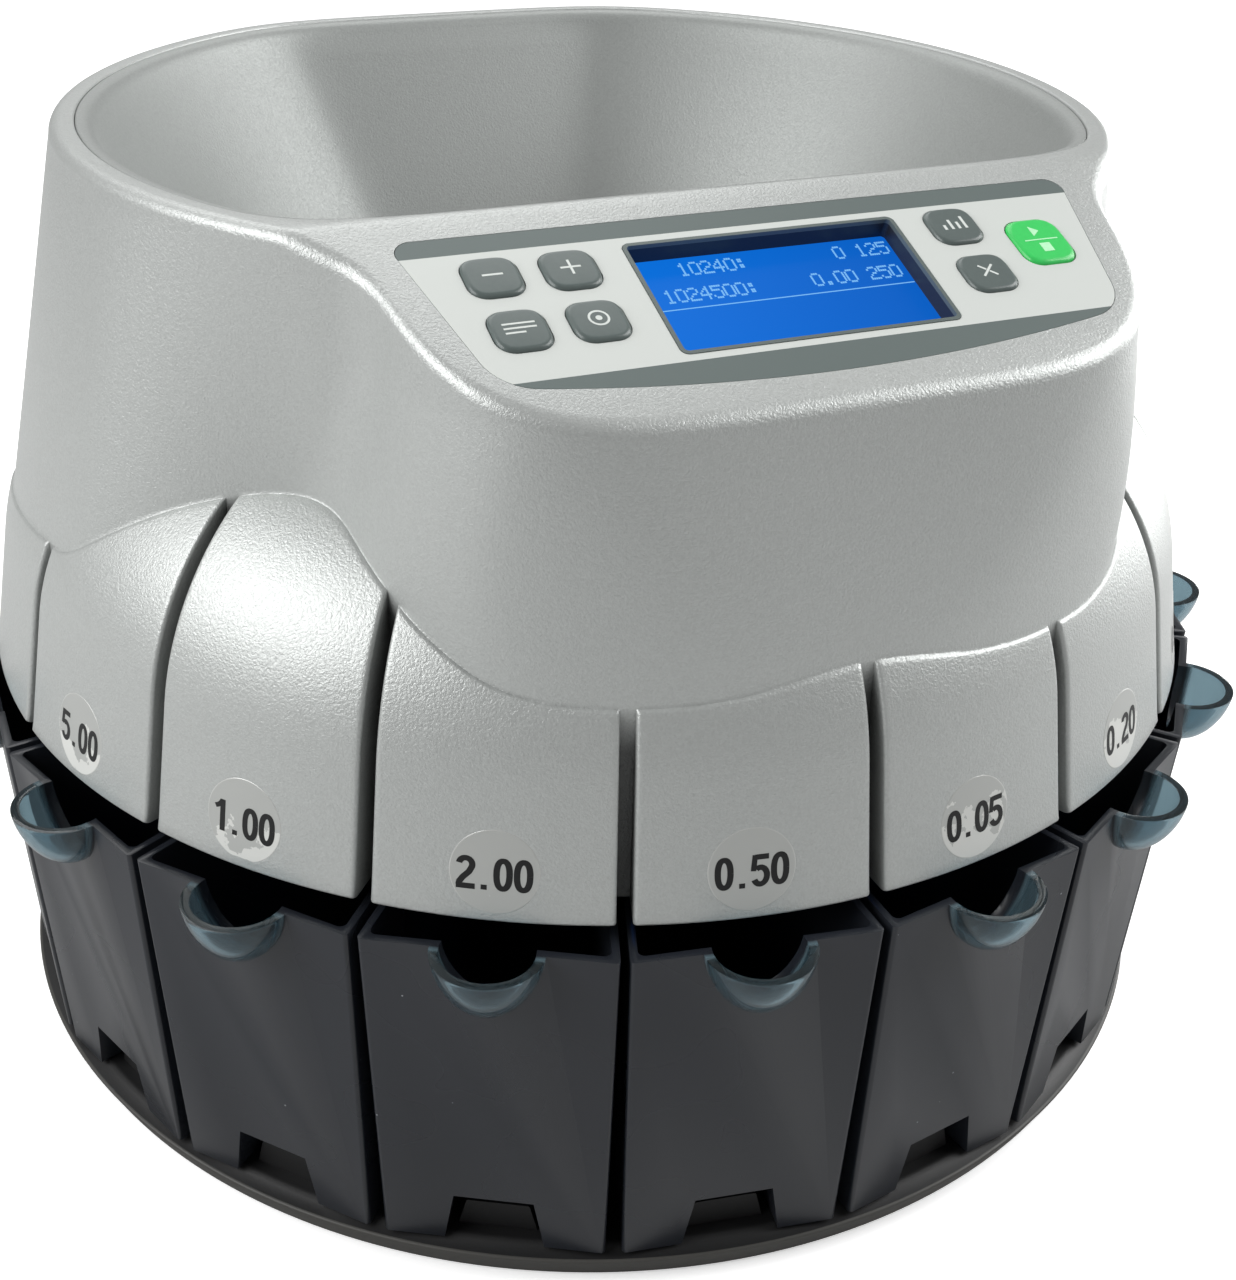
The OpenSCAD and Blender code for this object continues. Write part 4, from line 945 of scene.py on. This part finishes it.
for number, (text, angle) in enumerate(zip(label_values, label_angle)):
    if not text:
        continue
    disc_mesh = grid_mesh("sticker", on_petal(angle, disc_across, disc_up, rise), closed_u=True)
    write_uv(disc_mesh, "disc", np.stack([disc_across, disc_up], -1).reshape(-1, 2) + number * tear_step)
    vertex_value(disc_mesh, "rim", painted_rim_highlight)
    finish_mesh(disc_mesh, 60)
    film_kind = torn_vinyl if number in (1, 2) else ragged_vinyl if number in (5, 6) else vinyl
    disc_piece = new_piece(f"sticker_{number + 1:02d}", disc_mesh, film_kind)
    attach(disc_piece, "housing")
    grids = []
    for letter, x in zip(text, (-6.3, -2.25, 1.9, 6.35)):
        for layer, (path, width) in enumerate(digit_paths(letter)):
            flat = stroke(path, width)
            across, up = (flat[..., 0] + x) * digit_size[0], flat[..., 1] * digit_size[1]
            grids.append(on_petal(angle, across, up, 0.085 + 0.005 * layer))
    ink = new_piece(f"number_{number + 1:02d}", joined_grids(f"number_{number + 1:02d}", grids), black_ink)
    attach(ink, "housing")


# ---- Cups ----------------------------------------------------------------------------------------
# Ten coin drawers moulded in smoked, slightly see-through ABS. Each is a tapered wedge with a half-round
# finger scoop at the top of its front and a guide channel under its floor.

cup_front = (157.9, 162.7)       # distance of the front from the axis, at the bottom and at the top
cup_half = (9.32, 9.65)          # half angle between the sides, at the bottom and at the top
cup_back, cup_low, cup_top, cup_wall = 92.0, 9.9, 98.9, 2.0
scoop_r, scoop_h = 12.2, 15.0
channel_w, channel_h, channel_flare = 18.5, 14.0, 2.75


def cup_outline(level, inset, radius):
    """Wedge outline (x, outward distance) at a level from 0 (bottom) to 1 (top)."""
    front = cup_front[0] + (cup_front[1] - cup_front[0]) * level
    half = math.radians(cup_half[0] + (cup_half[1] - cup_half[0]) * level)
    w0 = cup_back * math.tan(half) - inset / math.cos(half)
    w1 = front * math.tan(half) - inset / math.cos(half)
    return rounded([(-w0, cup_back + inset), (w0, cup_back + inset), (w1, front - inset), (-w1, front - inset)],
                   radius, 6)


def round_ring(x, y, z, i):
    """From the frame of cup i, y outward, to row metres."""
    t = math.radians(-petal_end + petal_pitch * i)
    return in_row(x * math.cos(t) + y * math.sin(t), x * math.sin(t) - y * math.cos(t), z)


def tapered(name, low, high, z_low, z_high):
    """Solid between two outlines in the cup's own frame: x across, y outward, z up, in metres."""
    return prism(name, *(np.array([(x, y, z) for x, y in outline]) / 1000
                         for outline, z in ((low, z_low), (high, z_high))))


def scoop_solid(wall):
    """Bowl of revolution; its depth follows h * sin(a) ** 1.25."""
    r, h = scoop_r - wall, scoop_h - wall
    a = np.radians(np.linspace(0, 90, 19))
    radius = np.concatenate([[0.0, r], r * np.cos(a)])[None, :]
    top = 0.0 if wall == 0 else 1.0
    z = np.concatenate([[top, top], -h * np.sin(a) ** 1.25])[None, :] + cup_top
    t = full_turn(5.0)
    points = np.stack([radius * np.sin(t), cup_front[1] - radius * np.cos(t), z + 0 * t], -1)
    mesh = grid_mesh("scoop", points / 1000, closed_u=True)
    finish_mesh(mesh)
    return mesh


def channel_solid(grow):
    """Trapezoid tunnel along the floor."""
    w0, w1 = channel_w / 2 + channel_flare + grow, channel_w / 2 + grow
    z0, z1 = cup_low - 2, cup_low + channel_h + grow
    section = [(-w0, z0), (w0, z0), (w1, z1), (-w1, z1)]
    return prism("channel", *(np.array([(x, y, z) for x, z in section]) / 1000
                              for y in (cup_back - 5, cup_front[1] + 10)))


def cup_level(z):
    return (z - cup_low) / (cup_top - cup_low)


cup_body = tapered("cup", cup_outline(0, 0, 1.0), cup_outline(1, 0, 1.0), cup_low, cup_top)
cup_body = cut(cup_body, [scoop_solid(0)], "UNION")
inner_low, inner_high = cup_low + cup_wall, cup_top + 1
cavity = tapered("cavity", cup_outline(cup_level(inner_low), cup_wall, 1.5),
                 cup_outline(cup_level(inner_high), cup_wall, 1.5), inner_low, inner_high)
cavity = cut(cavity, [channel_solid(cup_wall)])
cup_body = cut(cup_body, [cavity, scoop_solid(cup_wall), channel_solid(0)])


def rounded_edges(mesh, width):
    """Rounds every sharp edge of a solid."""
    holder = new_object("rounding", mesh)
    bevel = holder.modifiers.new("edges", "BEVEL")
    bevel.width = width
    bevel.segments = 2
    bevel.limit_method = "ANGLE"
    bevel.angle_limit = math.radians(32)
    result = baked(holder)
    bpy.data.objects.remove(holder)
    return result


finish_mesh(cup_body, 32)
cup_body = rounded_edges(cup_body, 0.00035)


def smoked_abs(name):
    """Smoked transparent ABS, polished: teal where it stands free; over the closed drawer it is drawn opaque
    and almost black, its smoked tint darkened as painted shade for the shaded inside.

    The scoop's thin bowl lets the light through and keeps its blue tint; a few dust specks lie on the face.
    """
    m = new_material(name)
    free = attribute(m, "free")
    specks = add(m, "ShaderNodeTexVoronoi", {"feature": "F1"}, Vector=object_place(m), Scale=95.0)
    dust = maths(m, "LESS_THAN", specks.outputs["Distance"], 0.022)
    # Opaque near-black body: the smoked tint darkened as painted shade for the drawer's dark inside; the free
    # part lets the light through.
    body = blended(m, free, linear("#24272D"), linear("#93B2BE"))
    rough = spread(m, noise(m, 22.0, 2.0, Roughness=0.4), 0.26, 0.31)
    return surface(m, Base_Color=blended(m, dust, body, linear("#8C9094")), IOR=1.5,
                   Roughness=between(m, free, rough, 0.08),
                   Transmission_Weight=maths(m, "MULTIPLY", free, 0.97))


smoked = smoked_abs("smoked_clear_abs")
x, y, z = millimetres(cup_body).T
front = cup_front[0] + (cup_front[1] - cup_front[0]) * cup_level(z)
vertex_value(cup_body, "free", smooth_step((y - front - 0.1) / 2.0) * (z > 60))
for i in range(10):
    turned = round_ring(x, y, z, i)
    mesh = cup_body.copy()
    mesh.vertices.foreach_set("co", turned.ravel())
    finish_mesh(mesh, 32)
    name = f"cup_{i + 1:02d}"
    drawer = new_piece(name + "_shell", mesh, smoked)
    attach(drawer, name)
    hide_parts(name)


# ---- Base ----------------------------------------------------------------------------------------
# The round base tray, moulded in grained grey ABS. Its face leans out a little to a rounded rim. The
# floor under the cups and the rails that guide them are drawn near black, a painted shade for the shadow
# under the cups.

base_r, base_low = 158.0, 1.2
ledge_z = 9.6


def base_profile():
    """Radius and height from the underside's middle, round the rim, to the ledge's middle."""
    a = np.radians(np.linspace(0, 90, 5))
    low = [(base_r - 0.6 + 0.6 * math.sin(q), base_low + 0.6 * (1 - math.cos(q))) for q in a]
    high = [(159.9 + 0.7 * math.cos(q), 7.3 + 0.7 * math.sin(q)) for q in a]
    ledge = [(158.9, 8.3), (157.2, 8.9), (156.4, 9.45)] + [(r, ledge_z) for r in (155.4, 120.0, 1.0, 0.0)]
    return [(r, base_low) for r in (0.0, 1.0, 120.0)] + low + high + ledge


profile = np.array(base_profile())
t = full_turn(1.5)
base_mesh = grid_mesh("base_tray", round_axis(profile[:, 0], t, profile[:, 1] + 0 * t), closed_u=True)
finish_mesh(base_mesh, 40)
rails = bmesh.new()
rails.from_mesh(base_mesh)
rail_section = [(-9.5, 8.8), (-7.5, 16.6), (-7.1, 17.0), (7.1, 17.0), (7.5, 16.6), (9.5, 8.8)]
rail_ends = (94.0, 152.9)
for i in range(10):
    rings = [[rails.verts.new(round_ring(x, y, z, i)) for x, z in rail_section] for y in rail_ends]
    for k in range(6):
        rails.faces.new([rings[0][k], rings[0][(k + 1) % 6], rings[1][(k + 1) % 6], rings[1][k]])
    rails.faces.new(rings[0])
    rails.faces.new(rings[1][::-1])
rails.to_mesh(base_mesh)
rails.free()
finish_mesh(base_mesh, 40)


def charcoal_abs(name, shade):
    """Charcoal ABS from a grained tool, a little dusty."""
    m = new_material(name)
    tone = spread(m, noise(m, 25.0, 4.0), 0.93, 1.07)
    return surface(m, Base_Color=toned(m, shade, tone), Roughness=0.5,
                   Normal=bump(m, noise(m, 1300.0, 4.0, Roughness=0.6), 0.3, 0.0001))


warm_grey = charcoal_abs("grained_grey_abs", "#403F3C")
# Black ABS for the deck; on the base it is painted shade for the floor and rails under the cups.
black_abs_and_painted_shade = charcoal_abs("grained_black_abs_and_painted_shade", "#141415")
tray = new_piece("base_tray_shell", base_mesh, warm_grey)
base_mesh.materials.append(black_abs_and_painted_shade)
centres = np.empty(len(base_mesh.polygons) * 3)
base_mesh.polygons.foreach_get("center", centres)
x, y, z = (centres.reshape(-1, 3) * 1000).T
# Painted shade: the floor and rails under the cups take the near-black material.
painted_shade_floor_and_rails = (np.hypot(x, y - axis_y) < 160.0) & (z > 7.95)
base_mesh.polygons.foreach_set("material_index", painted_shade_floor_and_rails.astype(int))
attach(tray, "housing")
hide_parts("base_tray")


# ---- Back cover and sockets ------------------------------------------------------------------------
# The rear third of the skirt is one silver moulding with a recess for the mains inlet, the rocker
# switch and the printer socket, all moulded in black ABS.

def dress(names, material):
    """Gives CAD nodes that keep their own shape one material."""
    for name in names:
        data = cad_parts[name].data
        data.materials.clear()
        data.materials.append(material)


def black_abs(name):
    """Black ABS with a fine satin grain: it stays black and only its edges catch the light."""
    m = new_material(name)
    pits = noise(m, 2100.0, 3.0)
    return surface(m, Base_Color=linear("#17181A"), Roughness=spread(m, pits, 0.36, 0.5),
                   Normal=bump(m, pits, 0.25, 0.00006))


dress(["back_cover"], silver)
dress(["mains_inlet", "switch_housing", "power_switch", "printer_port"], black_abs("satin_black_abs"))


# ---- Sorter ----------------------------------------------------------------------------------------
# A steel disc with ribs spins in the hopper's throat. Rubber fingers sweep the coins along a steel rail
# and over the graduated slots of the black deck, under a ring of coin sensors.

def turned_steel(name, shade, roughness, stretch):
    """Bare steel with fine machining lines; they stretch each highlight across their run."""
    m = new_material(name)
    lines = add(m, "ShaderNodeMapping", {"vector_type": "POINT"}, Vector=object_place(m), Scale=stretch)
    brush = add(m, "ShaderNodeTexNoise", None, Vector=lines.outputs[0], Scale=300.0, Detail=4.0).outputs["Fac"]
    return surface(m, Base_Color=linear(shade), Metallic=1.0, Normal=bump(m, brush, 0.15, 0.00003),
                   Roughness=spread(m, brush, roughness - 0.06, roughness + 0.08))


def soft_rubber(name, shade):
    """Rubber with bloom: matt, with a slightly paler skin in places."""
    m = new_material(name)
    tone = spread(m, noise(m, 70.0, 4.0), 0.9, 1.15)
    return surface(m, Base_Color=toned(m, shade, tone), Roughness=0.72)


board_t = 0.0016
mask_play = 0.00005              # keeps the board's own faces green


def circuit_board(name, up, low, high):
    """Glass fibre board under green solder mask; what stands above or below it is black plastic."""
    m = new_material(name)
    place = object_place(m)
    level = add(m, "ShaderNodeVectorMath", {"operation": "DOT_PRODUCT"}, i0=place, i1=up).outputs["Value"]
    part = maths(m, "MAXIMUM", maths(m, "GREATER_THAN", level, high + mask_play),
                 maths(m, "LESS_THAN", level, low - mask_play))
    tracks = add(m, "ShaderNodeTexBrick", {"offset": 0.5}, Vector=place, Color1=linear("#1E5A38"),
                 Color2=linear("#226340"), Mortar=linear("#2F7A4F"), Scale=260.0, Mortar_Size=0.03)
    return surface(m, Base_Color=blended(m, part, tracks.outputs["Color"], linear("#17181A")), Roughness=0.32)


strip_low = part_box("sensor_strip")[0]
dress(["coin_rail"], turned_steel("brushed_rail_steel", "#B9BBBC", 0.3, (0.2, 0.2, 4.0)))
dress(["coin_disc"], turned_steel("turned_disc_steel", "#B4B6B8", 0.32, (1.0, 1.0, 0.3)))
dress(["sorting_deck", "core_drum"], black_abs_and_painted_shade)
dress(["disc_cap"], black_abs("moulded_cap_abs"))
dress(["sweeper_wheel"], soft_rubber("grey_polyurethane", "#45484B"))
dress(["sensor_strip"], circuit_board("green_sensor_board", (0, 0, 1), strip_low.z, strip_low.z + board_t))


# ---- Drive and electronics -------------------------------------------------------------------------
# A small motor under a steel bracket turns the disc's shaft through a ribbed belt. The main board and
# the boxed power supply stand beside it on the base, and the key boards hang under the panel.

zinc = turned_steel("zinc_plated_steel", "#A9ACAE", 0.38, (1.0, 1.0, 1.0))
dress(["drive_motor", "motor_bracket", "bracket_posts", "power_supply"], zinc)
dress(["drive_shaft", "motor_shaft", "bearings", "motor_pulley"],
      turned_steel("ground_steel", "#C0C2C4", 0.22, (1.0, 1.0, 5.0)))
dress(["driven_pulley"], black_abs("moulded_pulley_abs"))
dress(["drive_belt", "rubber_feet"], soft_rubber("black_nitrile_rubber", "#161617"))
board_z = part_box("main_board")[0].z + 0.006      # above the standoffs
dress(["main_board"], circuit_board("green_main_board", (0, 0, 1), board_z, board_z + board_t))
panel_up = (0.0, -math.sin(panel_tilt), math.cos(panel_tilt))
key_board_top = float(on_panel(0, 0, 0) @ np.array(panel_up)) - 0.0058
dress(["key_board_left", "key_board_right"],
      circuit_board("green_key_board", panel_up, key_board_top - board_t, key_board_top))
